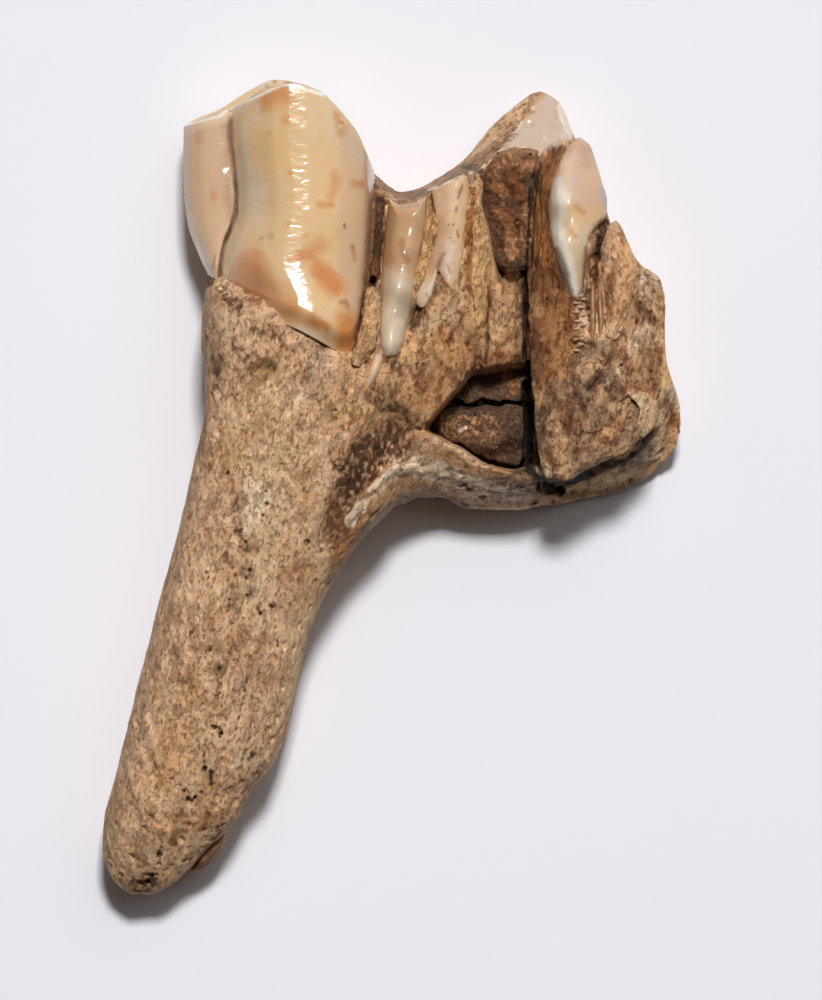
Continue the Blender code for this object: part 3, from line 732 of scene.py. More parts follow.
# Marks on the body: colour, strength, half width in pixels and line
BODY_MARKS = [
    # Painted light: the right flank of the root made paler to look lit
    ("cream", 0.6, 14, [(326, 540), (312, 600), (300, 660), (286, 720)]),
    # Painted shade on the upper wall of the root cavity
    ("umber", 0.84, 8, [(476, 366), (500, 364), (524, 362)]),
    # Painted light: the lower rim, which faces away from the light, made pale
    ("chalk", 0.9, 11, [(425, 468), (450, 480), (480, 492), (516, 500)]),
    # Painted light on the back wall, where the slab shades it
    ("ivory", 0.85, 12, [(674, 400), (670, 440), (650, 468)]),
    ("chalk", 0.6, 9, [(648, 280), (654, 340)]), ("dark", 0.5, 4, [(452, 482), (470, 486)]),
    ("cream", 0.6, 3, [(600, 490), (625, 478)]),
    # Painted shade: the left side of the root made greyer and darker
    ("cool", 0.5, 9, [(205, 300), (203, 420), (186, 520), (158, 640), (128, 760), (108, 850)]),
    ("cream", 0.5, 20, [(284, 440), (270, 510), (254, 590)]),
    ("sand", 0.4, 16, [(225, 640), (200, 720), (170, 800)]),
    ("straw", 0.45, 12, [(235, 435), (232, 460)]), ("straw", 0.4, 12, [(262, 370), (245, 400)]),
    ("chalk", 0.55, 9, [(252, 484), (262, 498), (255, 512)]),
    ("chalk", 0.5, 6, [(250, 520), (248, 526)]), ("chalk", 0.6, 3, [(318, 363), (320, 367)]),
    ("chalk", 0.4, 5, [(296, 398), (304, 392)]), ("cool", 0.55, 9, [(322, 352), (312, 385), (330, 400)]),
    ("grey", 0.5, 7, [(300, 350), (318, 345)]), ("tan", 0.5, 10, [(354, 340), (350, 380), (330, 430)]),
    ("umber", 0.55, 9, [(236, 350), (262, 372)]), ("olive", 0.85, 4, [(218, 362), (217, 372)]),
    ("dark", 0.6, 3, [(217, 372), (216, 388)]), ("olive", 0.75, 5, [(270, 365), (273, 368)]),
    # Painted shade in the two recesses below the front lobe's fold
    ("dark", 0.6, 6, [(222, 292), (232, 306), (240, 309)]), ("dark", 0.9, 5, [(204, 266), (208, 282)]),
    ("cool", 0.5, 9, [(214, 300), (216, 350)]), ("umber", 0.45, 6, [(248, 330), (290, 345)]),
    ("umber", 0.5, 3, [(205, 410), (200, 450)]), ("umber", 0.4, 5, [(226, 470), (222, 490)]),
    ("grey", 0.7, 6, [(244, 498), (238, 508)]), ("dark", 0.7, 4, [(239, 530), (246, 546), (240, 550)]),
    ("brick", 0.5, 5, [(250, 548), (256, 552)]), ("umber", 0.6, 5, [(228, 555), (236, 570)]),
    ("dark", 0.4, 6, [(247, 568), (250, 592)]), ("umber", 0.5, 7, [(232, 590), (236, 606)]),
    ("dark", 0.75, 2, [(258, 606), (262, 614)]), ("dark", 0.75, 2, [(270, 604), (275, 609)]),
    ("dark", 0.6, 1.6, [(258, 640), (256, 655), (249, 672), (244, 690)]),
    ("dark", 0.55, 1.5, [(246, 690), (238, 720), (236, 732)]),
    ("umber", 0.6, 2.4, [(228, 660), (216, 700), (212, 715)]),
    ("olive", 0.6, 4, [(220, 666), (218, 672)]), ("olive", 0.4, 6, [(176, 655), (178, 662)]),
    ("dark", 0.5, 3, [(212, 646), (208, 652)]), ("umber", 0.5, 5, [(196, 680), (194, 690)]),
    ("peach", 0.5, 10, [(196, 690), (188, 700)]), ("grey", 0.7, 4, [(178, 708), (180, 713)]),
    ("peach", 0.45, 16, [(175, 730), (160, 770)]), ("peach", 0.45, 12, [(190, 820), (160, 830)]),
    ("dark", 0.8, 1.6, [(213, 724), (222, 728), (221, 736)]),
    ("dark", 0.75, 1.6, [(206, 748), (205, 762)]), ("near_black", 0.8, 1.8, [(203, 768), (213, 770)]),
    ("dark", 0.8, 1.6, [(212, 772), (212, 784)]), ("near_black", 0.8, 1.6, [(188, 788), (186, 798)]),
    ("dark", 0.8, 1.6, [(192, 799), (202, 790)]), ("dark", 0.7, 1.3, [(224, 790), (233, 785)]),
    ("near_black", 0.6, 2, [(255, 752), (250, 758)]), ("dark", 0.6, 2, [(262, 748), (261, 754)]),
    ("umber", 0.5, 2.5, [(276, 700), (266, 730)]), ("umber", 0.5, 2, [(250, 735), (240, 775)]),
    ("chalk", 0.5, 3, [(240, 755), (238, 766)]), ("brick", 0.75, 3, [(207, 812), (203, 828)]),
    ("olive", 0.8, 3.5, [(176, 832), (173, 842)]), ("dark", 0.75, 2.5, [(161, 848), (159, 860)]),
    ("umber", 0.6, 5, [(180, 810), (185, 825)]), ("dark", 0.75, 5, [(134, 884), (146, 888), (154, 882)]),
    ("umber", 0.6, 6, [(152, 872), (140, 890)]), ("umber", 0.5, 4, [(138, 855), (150, 862)]),
    ("grey", 0.5, 5, [(262, 766), (244, 800), (236, 818), (224, 842)]),
    ("umber", 0.6, 4, [(226, 815), (210, 845), (198, 860)]), ("sand", 0.4, 14, [(290, 450), (318, 400)]),
    ("ochre", 0.35, 12, [(300, 560), (310, 590)]),
    ("grey", 0.85, 7, [(332, 578), (350, 553), (372, 528), (388, 509), (425, 494), (463, 506)]),
    ("amber", 0.6, 9, [(346, 520), (350, 540), (338, 556)]), ("amber", 0.4, 8, [(376, 484), (362, 500)]),
    ("dark", 0.8, 8, [(372, 396), (385, 402), (400, 412)]), ("near_black", 0.55, 4, [(388, 386), (396, 392)]),
    ("dark", 0.6, 6, [(392, 424), (412, 418)]), ("umber", 0.7, 7, [(404, 372), (428, 372)]),
    ("dark", 0.5, 4, [(420, 392), (436, 384)]), ("dark", 0.7, 4, [(388, 358), (396, 366)]),
    ("amber", 0.55, 9, [(440, 336), (446, 350)]),
    ("ochre", 0.6, 10, [(420, 400), (450, 372), (468, 350)]),
    ("straw", 0.5, 8, [(412, 350), (440, 355)]), ("cream", 0.5, 8, [(425, 330), (450, 312), (462, 290)]),
    ("ochre", 0.5, 7, [(455, 400), (440, 408)]), ("umber", 0.5, 5, [(470, 345), (478, 330)]),
    ("straw", 0.7, 4, [(366, 426), (374, 430)]), ("straw", 0.7, 5, [(346, 414), (372, 410)]),
    ("straw", 0.5, 5, [(398, 388), (406, 382)]),
    ("umber", 0.84, 17, [(396, 440), (372, 455), (354, 490), (340, 535)]),
    ("dark", 0.84, 15, [(350, 492), (364, 456), (390, 436)]), ("near_black", 0.4, 6, [(360, 470), (352, 500)]),
    ("dark", 0.6, 7, [(346, 506), (338, 530)]), ("dark", 0.5, 4, [(340, 440), (332, 470)]),
    ("umber", 0.5, 6, [(328, 500), (334, 530)]), ("chalk", 0.9, 4.5, [(353, 517), (363, 504)]),
    ("cream", 0.8, 3.5, [(368, 498), (378, 488)]), ("cream", 0.8, 3.5, [(384, 483), (394, 474)]),
    ("chalk", 0.8, 4, [(390, 478), (403, 465)]), ("chalk", 0.7, 5, [(405, 462), (430, 462), (455, 474)]),
    ("chalk", 0.7, 3, [(464, 494), (472, 500)]), ("dark", 0.6, 3, [(430, 474), (446, 480)]),
    ("near_black", 0.5, 2, [(438, 478), (444, 480)]), ("dark", 0.55, 4, [(462, 486), (480, 490)]),
    ("dark", 0.8, 7, [(500, 480), (515, 486), (535, 488)]), ("umber", 0.6, 6, [(480, 498), (520, 500)]),
    ("sand", 0.7, 3, [(440, 484), (480, 504), (520, 507), (556, 500)]),
    # Painted shade in the hollow under the slab's lower corner
    ("dark", 0.95, 8, [(537, 476), (548, 484), (558, 485)]), ("near_black", 0.9, 4, [(532, 474), (546, 482)]),
    # Painted shadow that the slab's lower edge casts on the back lip
    ("near_black", 0.95, 3, [(570, 482), (590, 474), (606, 467), (625, 462), (640, 448), (652, 432)]),
    # Painted shade down the long crack
    ("near_black", 0.95, 2.4, [(529, 168), (526, 210), (525, 250)]),
    ("umber", 0.9, 4, [(525, 250), (526, 310), (527, 365)]),
    ("dark", 0.9, 2.6, [(525, 250), (526, 310), (527, 365), (530, 410)]),
    ("near_black", 0.9, 1.4, [(525, 250), (526, 310), (527, 365), (530, 410), (532, 468)]),
    # Painted shade in the dark bands at the long crack's right side, on this line and in the dark mark of the
    # next
    ("dark", 0.8, 6, [(538, 165), (534, 200), (530, 250), (529, 290)]),
    ("umber", 0.8, 4, [(543, 160), (541, 200)]), ("dark", 0.85, 6, [(531, 328), (532, 352), (532, 380)]),
    ("dark", 0.5, 7, [(556, 240), (563, 262), (567, 285)]),
    ("ochre", 0.7, 8, [(556, 310), (562, 345), (560, 370)]),
    ("amber", 0.6, 6, [(540, 200), (538, 240), (546, 262)]), ("amber", 0.6, 5, [(550, 160), (546, 185)]),
    ("umber", 0.6, 3, [(557, 150), (560, 172)]), ("brick", 0.6, 8, [(545, 300), (536, 320)]),
    ("straw", 0.45, 5, [(534, 300), (540, 312)]), ("straw", 0.7, 4, [(531, 385), (538, 402)]),
    ("dark", 0.7, 8, [(543, 416), (548, 434)]), ("sand", 0.7, 9, [(556, 420), (560, 440), (556, 452)]),
    ("sand", 0.7, 9, [(545, 464), (566, 468)]), ("umber", 0.65, 4, [(540, 452), (554, 458)]),
    ("umber", 0.65, 4, [(560, 444), (570, 448)]), ("chalk", 0.5, 3, [(538, 470), (550, 475)]),
    ("dark", 0.75, 5, [(589, 385), (598, 376)]), ("dark", 0.6, 5, [(606, 356), (610, 366)]),
    ("umber", 0.6, 6, [(580, 400), (578, 430)]), ("sand", 0.7, 7, [(580, 372), (600, 366)]),
    ("sand", 0.6, 8, [(600, 395), (622, 410)]), ("peach", 0.6, 6, [(618, 424), (600, 440)]),
    ("brick", 0.6, 4, [(610, 418), (624, 432)]), ("brick", 0.6, 3, [(596, 434), (612, 444)]),
    ("umber", 0.6, 5, [(606, 400), (600, 410)]), ("chalk", 0.5, 5, [(640, 330), (622, 370)]),
    ("umber", 0.55, 4, [(646, 300), (640, 324)]), ("dark", 0.5, 5, [(641, 340), (650, 372)]),
    ("brick", 0.55, 6, [(655, 350), (650, 385)]), ("sand", 0.6, 6, [(650, 290), (656, 330)]),
    ("dark", 0.5, 3, [(622, 330), (612, 350)]), ("umber", 0.55, 3, [(622, 390), (634, 380)]),
    ("brick", 0.5, 3, [(625, 392), (630, 388)]), ("ochre", 0.5, 6, [(660, 300), (656, 350)]),
    ("umber", 0.65, 6, [(668, 396), (674, 410)]), ("dark", 0.6, 5, [(655, 430), (652, 446)]),
    ("amber", 0.5, 8, [(676, 420), (670, 450)]), ("dark", 0.7, 5, [(640, 458), (626, 468)]),
    ("amber", 0.55, 6, [(640, 470), (664, 462)]),
    ("grey", 0.85, 6, [(602, 496), (622, 488), (648, 482)]),
    ("chalk", 0.5, 2.5, [(592, 486), (616, 474), (640, 472)]),
    ("straw", 0.8, 4, [(482, 226), (486, 262), (484, 290)]),
    ("rust", 0.7, 3, [(469, 214), (471, 250), (469, 290)]),
    ("near_black", 0.85, 1.8, [(485, 248), (486, 256)]), ("umber", 0.6, 3, [(456, 296), (462, 330)]),
    ("umber", 0.7, 3, [(497, 300), (504, 325)]), ("sand", 0.7, 6, [(513, 275), (502, 300), (500, 340)]),
    ("dark", 0.9, 1.4, [(483, 268), (487, 290), (489, 305), (486, 325), (488, 345), (485, 364)]),
    ("rust", 0.6, 1.6, [(490, 356), (505, 358), (516, 355)]),
    # Painted shade at the tongue's right edge beside the long crack
    ("dark", 0.8, 4, [(519, 280), (518, 320), (519, 362)]),
    ("dark", 0.9, 3.5, [(381, 200), (380, 230), (376, 256)]), ("near_black", 0.9, 2, [(373, 278), (373, 285)]),
    ("umber", 0.6, 3, [(372, 260), (371, 276)]), ("sand", 0.6, 2.5, [(379, 192), (390, 197)]),
    ("umber", 0.6, 4, [(384, 178), (396, 190), (412, 194)]), ("near_black", 0.5, 3, [(420, 194), (430, 190)]),
    ("grey", 0.7, 3, [(370, 167), (386, 182), (400, 187), (434, 180), (466, 164), (500, 144)]),
    ("lilac", 0.8, 1.6, [(372, 163), (386, 180), (400, 185), (424, 177), (450, 165), (472, 150)]),
    ("white", 0.95, 1.5, [(430, 190), (440, 187), (456, 179), (464, 176)]),
    ("chalk", 0.8, 1.2, [(470, 174), (486, 166), (500, 152), (520, 125), (541, 99)]),
    ("near_black", 0.7, 4, [(466, 168), (478, 170)]), ("umber", 0.7, 6, [(414, 318), (428, 300)]),
    ("dark", 0.8, 5, [(442, 282), (436, 292)]), ("olive", 0.7, 7, [(414, 308), (410, 326)]),
    ("dark", 0.6, 4, [(424, 318), (414, 330)]), ("near_black", 0.5, 2, [(415, 325), (411, 332)]),
    ("dark", 0.85, 5, [(604, 226), (600, 240), (596, 258)]),
    ("near_black", 0.8, 2.6, [(599, 240), (597, 257)]), ("umber", 0.8, 7, [(592, 262), (594, 285)]),
    ("dark", 0.7, 4, [(588, 292), (590, 340)]), ("grey", 0.7, 6, [(584, 350), (578, 360)]),
    ("chalk", 0.95, 5, [(350, 521), (364, 500), (382, 483), (400, 468)]),
    ("white", 0.8, 1.1, [(374, 437)]), ("white", 0.8, 1.1, [(226, 336)]),
    ("white", 0.8, 1.3, [(360, 386)]), ("tan", 0.7, 4, [(540, 96), (528, 112)]),
    ("umber", 0.6, 4, [(512, 132), (502, 146)]), ("white", 0.6, 5, [(562, 108), (569, 132)]),
    ("umber", 0.88, 5, [(532, 340), (537, 375)]), ("umber", 0.88, 5, [(560, 404), (567, 430)]),
    ("dark", 0.86, 4, [(587, 388), (598, 375)]), ("umber", 0.88, 3.5, [(604, 322), (620, 334)]),
    ("dark", 0.86, 2.6, [(606, 388), (612, 399)]), ("umber", 0.88, 4, [(638, 306), (652, 322)]),
    ("umber", 0.88, 3, [(596, 470), (612, 460)]), ("umber", 0.88, 3.5, [(546, 450), (553, 470)]),
    ("brick", 0.8, 4, [(622, 350), (630, 372)]), ("umber", 0.88, 3, [(575, 452), (590, 446)]),
    ("dark", 0.86, 3, [(577, 395), (584, 410)]), ("brick", 0.8, 5, [(668, 404), (676, 424)]),
    ("umber", 0.88, 3, [(448, 372), (456, 384)]), ("brick", 0.7, 4, [(430, 350), (440, 366)]),
    ("brick", 0.7, 4, [(418, 384), (430, 380)]),
]
# The same for the front lobe
LOBE_ZONES = [
    ("blush", 0.7, [(182, 120), (232, 110), (238, 190), (222, 262), (216, 286), (180, 190)]),
    ("honey", 0.55, [(262, 90), (320, 92), (340, 200), (330, 300), (300, 330), (262, 300), (270, 200)]),
    ("blush", 0.6, [(330, 98), (378, 175), (368, 300), (350, 350), (338, 260), (340, 150)]),
    ("peach", 0.6, [
        (236, 250), (262, 250), (290, 300), (320, 332), (340, 352), (300, 335), (250, 308), (226, 285),
    ]),
]
LOBE_MARKS = [
    ("stain", 0.95, 9, [(324, 276), (334, 288)]), ("stain", 0.9, 6, [(317, 268), (324, 276)]),
    ("stain", 0.8, 6, [(314, 322), (324, 330)]), ("stain", 0.6, 9, [(346, 320), (348, 346)]),
    ("stain", 0.7, 12, [(248, 268), (256, 286)]), ("stain", 0.65, 9, [(266, 298), (292, 308)]),
    ("stain", 0.55, 3.5, [(300, 258), (310, 259)]), ("stain", 0.65, 7, [(320, 247), (300, 262)]),
    ("stain", 0.5, 7, [(345, 342), (349, 328)]), ("stain", 0.75, 2.6, [(320, 207), (332, 207)]),
    ("stain", 0.6, 3.4, [(356, 186), (361, 187)]),
    ("stain", 0.45, 4, [(336, 176), (337, 188), (331, 198)]), ("stain", 0.6, 9, [(266, 102), (284, 95)]),
    ("stain", 0.4, 4.5, [(286, 123)]), ("amber", 0.55, 1.8, [(270, 136)]),
    ("stain", 0.7, 2, [(291, 175)]), ("stain", 0.5, 2.4, [(289, 227)]),
    ("olive", 0.3, 2.4, [(262, 240)]), ("olive", 0.3, 3, [(271, 238)]), ("stain", 0.5, 2, [(307, 238)]),
    ("amber", 0.5, 4, [(337, 118), (341, 135)]), ("cream", 0.6, 2, [(341, 128)]),
    ("brick", 0.5, 1.4, [(342, 124)]), ("stain", 0.4, 3, [(214, 194), (214, 200)]),
    ("amber", 0.3, 4, [(201, 130), (200, 142)]), ("peach", 0.4, 5, [(196, 226)]),
    ("rust", 0.6, 1.8, [(353, 248), (355, 262)]),
    ("rust", 0.5, 1.6, [(340, 304), (346, 302), (348, 308)]), ("stain", 0.4, 3, [(344, 306)]),
    ("brick", 0.85, 1.1, [(345, 226), (345, 229)]), ("peach", 0.5, 9, [(297, 290), (268, 302)]),
    ("honey", 0.5, 9, [(282, 150), (276, 140)]), ("honey", 0.4, 16, [(300, 180), (310, 230)]),
    ("pearl", 0.55, 6, [(350, 142), (360, 158)]), ("blush", 0.6, 8, [(350, 262), (356, 290)]),
    ("ivory", 0.6, 4.5, [(302, 331), (320, 337)]),
    ("pearl", 0.5, 5, [(244, 128), (244, 180), (241, 226), (230, 264)]),
    ("ivory", 0.4, 4, [(190, 218), (201, 250), (211, 272)]), ("pearl", 0.5, 4, [(228, 282), (240, 300)]),
    ("cream", 0.4, 6, [(318, 108), (312, 140)]), ("cream", 0.5, 6, [(272, 120), (258, 122)]),
    # Painted shade in the groove beside the fold
    ("dark", 0.85, 1.7, [
        (231, 118), (230, 136), (234, 167), (237, 193), (236, 211), (232, 227), (226, 242), (221, 262),
        (219, 284),
    ]),
    # Painted shade along the lobe's right edge beside the valley
    ("umber", 0.5, 2.6, [(374, 176), (372, 230), (366, 290), (357, 340)]),
    ("umber", 0.4, 1.3, [(216, 256), (213, 268)]),
    ("grey", 0.5, 4, [(228, 124), (228, 180), (232, 220)]),
    ("white", 0.95, 1.3, [
        (184, 125), (218, 118), (236, 107), (264, 96), (282, 87), (295, 86), (306, 92), (324, 97),
    ]),
    ("ivory", 0.5, 3, [(186, 130), (218, 122), (240, 110)]), ("umber", 0.7, 2.2, [(292, 83), (287, 82)]),
    ("umber", 0.6, 1.8, [(274, 80)]), ("umber", 0.5, 1.8, [(266, 84)]),
]
# Marks on the fine pieces
BAR_MARKS = [
    ("tan", 0.75, 17, [(406, 205), (403, 240), (400, 262)]),
    ("ochre", 0.5, 5, [(390, 210), (388, 250), (390, 265)]),
    ("pearl", 0.8, 15, [(396, 290), (390, 345)]), ("olive", 0.2, 6, [(402, 300), (396, 330)]),
    ("chalk", 0.5, 5, [(398, 325), (392, 340)]), ("rust", 0.4, 3, [(402, 243), (406, 262)]),
    ("umber", 0.5, 2.5, [(384, 200), (381, 260)]), ("grey", 0.5, 3, [(400, 206), (415, 204)]),
    ("tan", 0.9, 12, [(436, 190), (438, 215), (438, 240), (430, 270)]),
    ("sand", 0.7, 8, [(462, 182), (457, 215), (453, 245), (450, 276)]),
    ("lilac", 0.25, 7, [(448, 250), (445, 276)]), ("brick", 0.8, 1.2, [(462, 187), (458, 199)]),
    ("brick", 0.9, 1.3, [(456, 208), (456, 212)]), ("brick", 0.9, 1.2, [(453, 226)]),
    ("brick", 0.9, 1.3, [(457, 232), (458, 238)]), ("brick", 0.8, 1.2, [(449, 226)]),
    ("brick", 0.8, 1.2, [(450, 239)]), ("umber", 0.6, 2, [(443, 255), (438, 268)]),
    ("umber", 0.6, 1.6, [(434, 284), (428, 294)]), ("brick", 0.6, 1.2, [(448, 268), (450, 274)]),
    ("pearl", 0.7, 9, [(433, 288), (423, 312)]), ("brick", 0.6, 1.5, [(427, 296), (430, 302)]),
    ("rose", 0.75, 16, [(580, 150), (585, 190)]),
    ("ivory", 0.6, 8, [(560, 200), (556, 230), (566, 262)]), ("cream", 0.6, 9, [(575, 250), (577, 300)]),
    ("peach", 0.5, 9, [(586, 170), (592, 200)]), ("stain", 0.45, 3, [(575, 208), (583, 214)]),
    ("stain", 0.5, 2, [(570, 232), (575, 238)]), ("tan", 0.6, 9, [(568, 146), (592, 146)]),
    ("stain", 0.4, 2.5, [(553, 210), (551, 225)]), ("cool", 0.8, 8, [(578, 288), (578, 352)]),
    ("lilac", 0.8, 3.5, [(602, 190), (610, 222)]), ("umber", 0.6, 4, [(600, 224), (592, 240)]),
    # Painted light on the left side of the slab's enamel, which faces away from the light
    ("white", 0.6, 7, [(557, 185), (554, 225), (563, 262), (571, 290)]),
    ("dark", 0.6, 3, [(556, 252), (563, 270), (569, 292)]), ("dark", 0.5, 3, [(586, 250), (584, 290)]),
    ("umber", 0.5, 3, [(604, 234), (600, 262)]), ("peach", 0.7, 9, [(620, 245), (628, 280), (616, 320)]),
    ("brick", 0.6, 3, [(612, 262), (610, 290)]), ("brick", 0.5, 5, [(607, 280), (606, 320)]),
    ("straw", 0.8, 8, [(370, 295), (371, 330), (366, 355)]),
    ("straw", 0.9, 9, [(478, 220), (482, 290), (478, 328)]),
    ("straw", 0.8, 5, [(431, 222), (426, 250), (420, 280)]),
    ("cream", 0.7, 10, [(641, 400), (643, 430)]), ("umber", 0.7, 9, [(212, 845), (198, 866)]),
    ("grey", 0.5, 5, [(219, 836), (208, 850)]),
    ("white", 0.7, 1.6, [(400, 187), (434, 188), (454, 180)]),
    ("chalk", 0.6, 1.6, [(470, 174), (500, 153), (541, 99)]),
]

# Relief of the broken cheek side, as lines in pixels with a half width and a rise in millimetres
RELIEF = [
    ([(381, 188), (380, 215), (377, 250), (373, 285)], 4, -0.5),
    ([(373, 279), (373, 284)], 2.5, -0.8),
    ([(432, 200), (431, 240), (426, 285), (414, 325)], 3, -0.35),
    ([(483, 268), (487, 290), (489, 305), (486, 325), (488, 345), (485, 364)], 1.6, -0.35),
    ([(508, 274), (502, 300), (500, 340)], 6, 0.25),
    ([(437, 272), (428, 292), (417, 316)], 5, -0.35),
    ([(334, 530), (350, 505), (358, 480), (372, 455), (392, 425)], 18, -0.6),
    ([(336, 545), (347, 522), (366, 494), (392, 471), (420, 470)], 4, 0.3),
    ([(540, 486), (548, 489), (560, 490)], 5, -1.2),
    ([(610, 224), (600, 228), (597, 246), (592, 262), (590, 300)], 5, -0.6),
    ([(575, 345), (583, 352), (590, 348)], 5, -0.35),
    ([(628, 398), (641, 408), (640, 425), (641, 436)], 1.4, -0.3),
    ([(616, 336), (610, 360), (588, 392)], 1.6, -0.2),
    ([(645, 300), (636, 335), (634, 372)], 2.2, -0.25),
    ([(205, 266), (208, 280)], 4, -0.5),
    ([(222, 290), (232, 303), (238, 306)], 5, -0.35),
]
# Small dark holes: pixel and radius in pixels
HOLES = [
    (229, 473, 1.6), (241, 533, 2.2), (247, 542, 1.8), (241, 548, 2.2), (251, 570, 2), (229, 580, 1.6),
    (247, 577, 1.8), (231, 599, 1.6), (248, 595, 1.6), (261, 613, 2), (273, 607, 2), (267, 504, 1.8),
    (264, 515, 1.6), (307, 542, 2.6), (322, 551, 2.6), (214, 630, 1.6), (233, 623, 1.4), (211, 650, 2),
    (220, 668, 2), (206, 767, 2.4), (212, 784, 1.8), (189, 798, 2.2), (196, 796, 1.6), (185, 790, 1.6),
    (160, 854, 2.2), (141, 884, 3.2), (152, 875, 2.2), (148, 882, 3), (173, 778, 1.6), (215, 727, 2.2),
    (222, 733, 2), (301, 367, 1.4), (427, 424, 2.2), (420, 430, 1.8), (484, 249, 1.6), (486, 256, 1.6),
    (600, 240, 2.4), (599, 247, 1.8), (596, 256, 2.4), (373, 281, 2.8), (458, 199, 1.3), (456, 209, 1.3),
    (456, 228, 1.0), (453, 234, 1.0), (462, 187, 1.2), (505, 328, 1.6), (347, 394, 1.4), (336, 411, 1.4),
    (546, 300, 1.2), (561, 262, 2.0), (565, 330, 1.2), (549, 388, 1.3), (621, 366, 1.6), (650, 372, 1.4),
]
# Root cement, and the flaky part of the broken slab, as outlines in pixels
CEMENT_ZONE = [
    (150, 250), (210, 277), (236, 299), (300, 332), (345, 352), (380, 345), (372, 372), (352, 405),
    (338, 440), (334, 480), (345, 520), (345, 600), (300, 740), (250, 920), (60, 930), (60, 600),
    (150, 400),
]
FLAKY_ZONE = [
    (578, 345), (606, 300), (640, 262), (670, 280), (662, 400), (640, 440), (600, 462), (575, 476),
    (537, 478), (535, 430), (562, 400),
]
# How far the root leans from the Y axis
ROOT_LEAN = math.radians(-17)
HOLE_DEPTH = 0.3
# The long crack between the middle and the slab: half width in pixels, depth in millimetres, and line
# in pixels
CRACK_HALF_WIDTH = 2.4
CRACK_DEPTH = 1.6
LONG_CRACK = [(528, 168), (526, 210), (524, 250), (525, 310), (526, 365), (529, 410), (531, 466)]


def along_root(points):
    """Points turned so that their second axis runs along the root."""
    c, s = math.cos(ROOT_LEAN), math.sin(ROOT_LEAN)
    x, y, z = points.T
    return np.column_stack([x * c - y * s, x * s + y * c, z])


def zone(points, outline, softness=8):
    """One inside an outline given in pixels, and zero outside it."""
    px, py = pixel_of(points)
    wander = 6 * noise(points, (0.6, 0.6, 0.6), 41)
    return smooth_step((depth_inside(px, py, outline) + wander) / softness + 0.5)


def seen_share(normals):
    """One where the surface faces up, and zero where it faces down."""
    return smooth_step((normals[:, 2] + 0.15) / 0.4)


def body_relief(points, normals):
    """Grooves, ridges, pits and broken grain of the root and the broken crown."""
    px, py = pixel_of(points)
    up = smooth_step((normals[:, 2] - 0.05) / 0.4)
    moved = points.copy()
    stray = 1.6 * noise(points, (0.45, 0.45, 0.45), 43)
    for line, half_width, rise in [*RELIEF, (LONG_CRACK, CRACK_HALF_WIDTH, -CRACK_DEPTH)]:
        gap = distance_to_line(px, py, line) + stray
        moved[:, 2] += rise * up * smooth_step(1.5 - gap / half_width)
    for hx, hy, radius in HOLES:
        moved[:, 2] -= HOLE_DEPTH * up * smooth_step(1.4 - np.hypot(px - hx, py - hy) / radius)
    cement = zone(points, CEMENT_ZONE)
    turned = along_root(points)
    crumbly = smooth_step((points[:, 1] + 4) / 9)
    lumps = noise(points, (0.5, 0.5, 0.5), 5) * 0.05 + noise(points, (0.24, 0.24, 0.24), 6) * 0.05
    fibres = noise(turned, (0.4, 2.8, 0.6), 7) * 0.07 + noise(turned, (0.2, 1.6, 0.3), 8) * 0.06
    gap, label = grains(turned, (0.5, 0.8, 0.5), 9)
    pitted = smooth_step((0.45 - gap) / 0.2) * (label > 0.62)
    rough_cement = lumps * (0.2 + 0.8 * crumbly) + fibres * (1 - 0.6 * crumbly) - 0.13 * pitted
    flaky = zone(points, FLAKY_ZONE, 12)
    waves = noise(points, (1.3, 1.7, 1.3), 11) + 0.35 * noise(points, (0.5, 0.6, 0.5), 12)
    terraces = 0.13 * (np.round(waves * 3) - waves * 1.5)
    splinters = noise(points, (0.22, 0.9, 0.4), 13) * 0.05 + noise(points, (0.3, 0.3, 0.3), 14) * 0.045
    gap, label = grains(points, (0.6, 0.8, 0.6), 15)
    chips = smooth_step((0.5 - gap) / 0.25) * (label > 0.72)
    rough_break = splinters + flaky * terraces - 0.12 * chips
    swell = 0.07 * noise(turned, (2.2, 3.4, 2.6), 19)
    amount = (swell + rough_cement * cement + rough_break * (1 - cement)) * (0.4 + 0.6 * up)
    return moved + normals * amount[:, None]


def keep_tint(data, zones, marks, rough=2.2, soft=0.5, seed=3):
    """Stores the colour painted on each point, and the share that it covers, for the material."""
    layer = data.attributes.new("tint", "FLOAT_COLOR", "POINT")
    points = points_of(data)
    # Near the long crack the painted shade is laid on every face, also on those that face down
    crack = smooth_step(2 - distance_to_line(*pixel_of(points), LONG_CRACK) / 4)
    shown = np.maximum(seen_share(normals_of(data)), crack)
    laid = tinted(points, zones, marks, shown, rough, soft, seed)
    layer.data.foreach_set("color", laid.astype(np.float32).ravel())


def split(data, chosen):
    """Parts a mesh by the mask of faces for each name, and keeps its smooth look across the cuts."""
    normals = normals_of(data)
    parts = []
    for name, keep in chosen.items():
        mesh = bmesh.new()
        mesh.from_mesh(data)
        number = mesh.verts.layers.int.new("number")
        for index, vertex in enumerate(mesh.verts):
            vertex[number] = index
        mesh.faces.ensure_lookup_table()
        bmesh.ops.delete(mesh, geom=[mesh.faces[i] for i in np.flatnonzero(~keep)], context="FACES")
        part = bpy.data.meshes.new(name)
        mesh.to_mesh(part)
        mesh.free()
        old = np.empty(len(part.vertices), np.int32)
        part.attributes["number"].data.foreach_get("value", old)
        part.attributes.remove(part.attributes["number"])
        part.shade_smooth()
        part.normals_split_custom_set_from_vertices(normals[old].tolist())
        parts.append(part)
    return parts


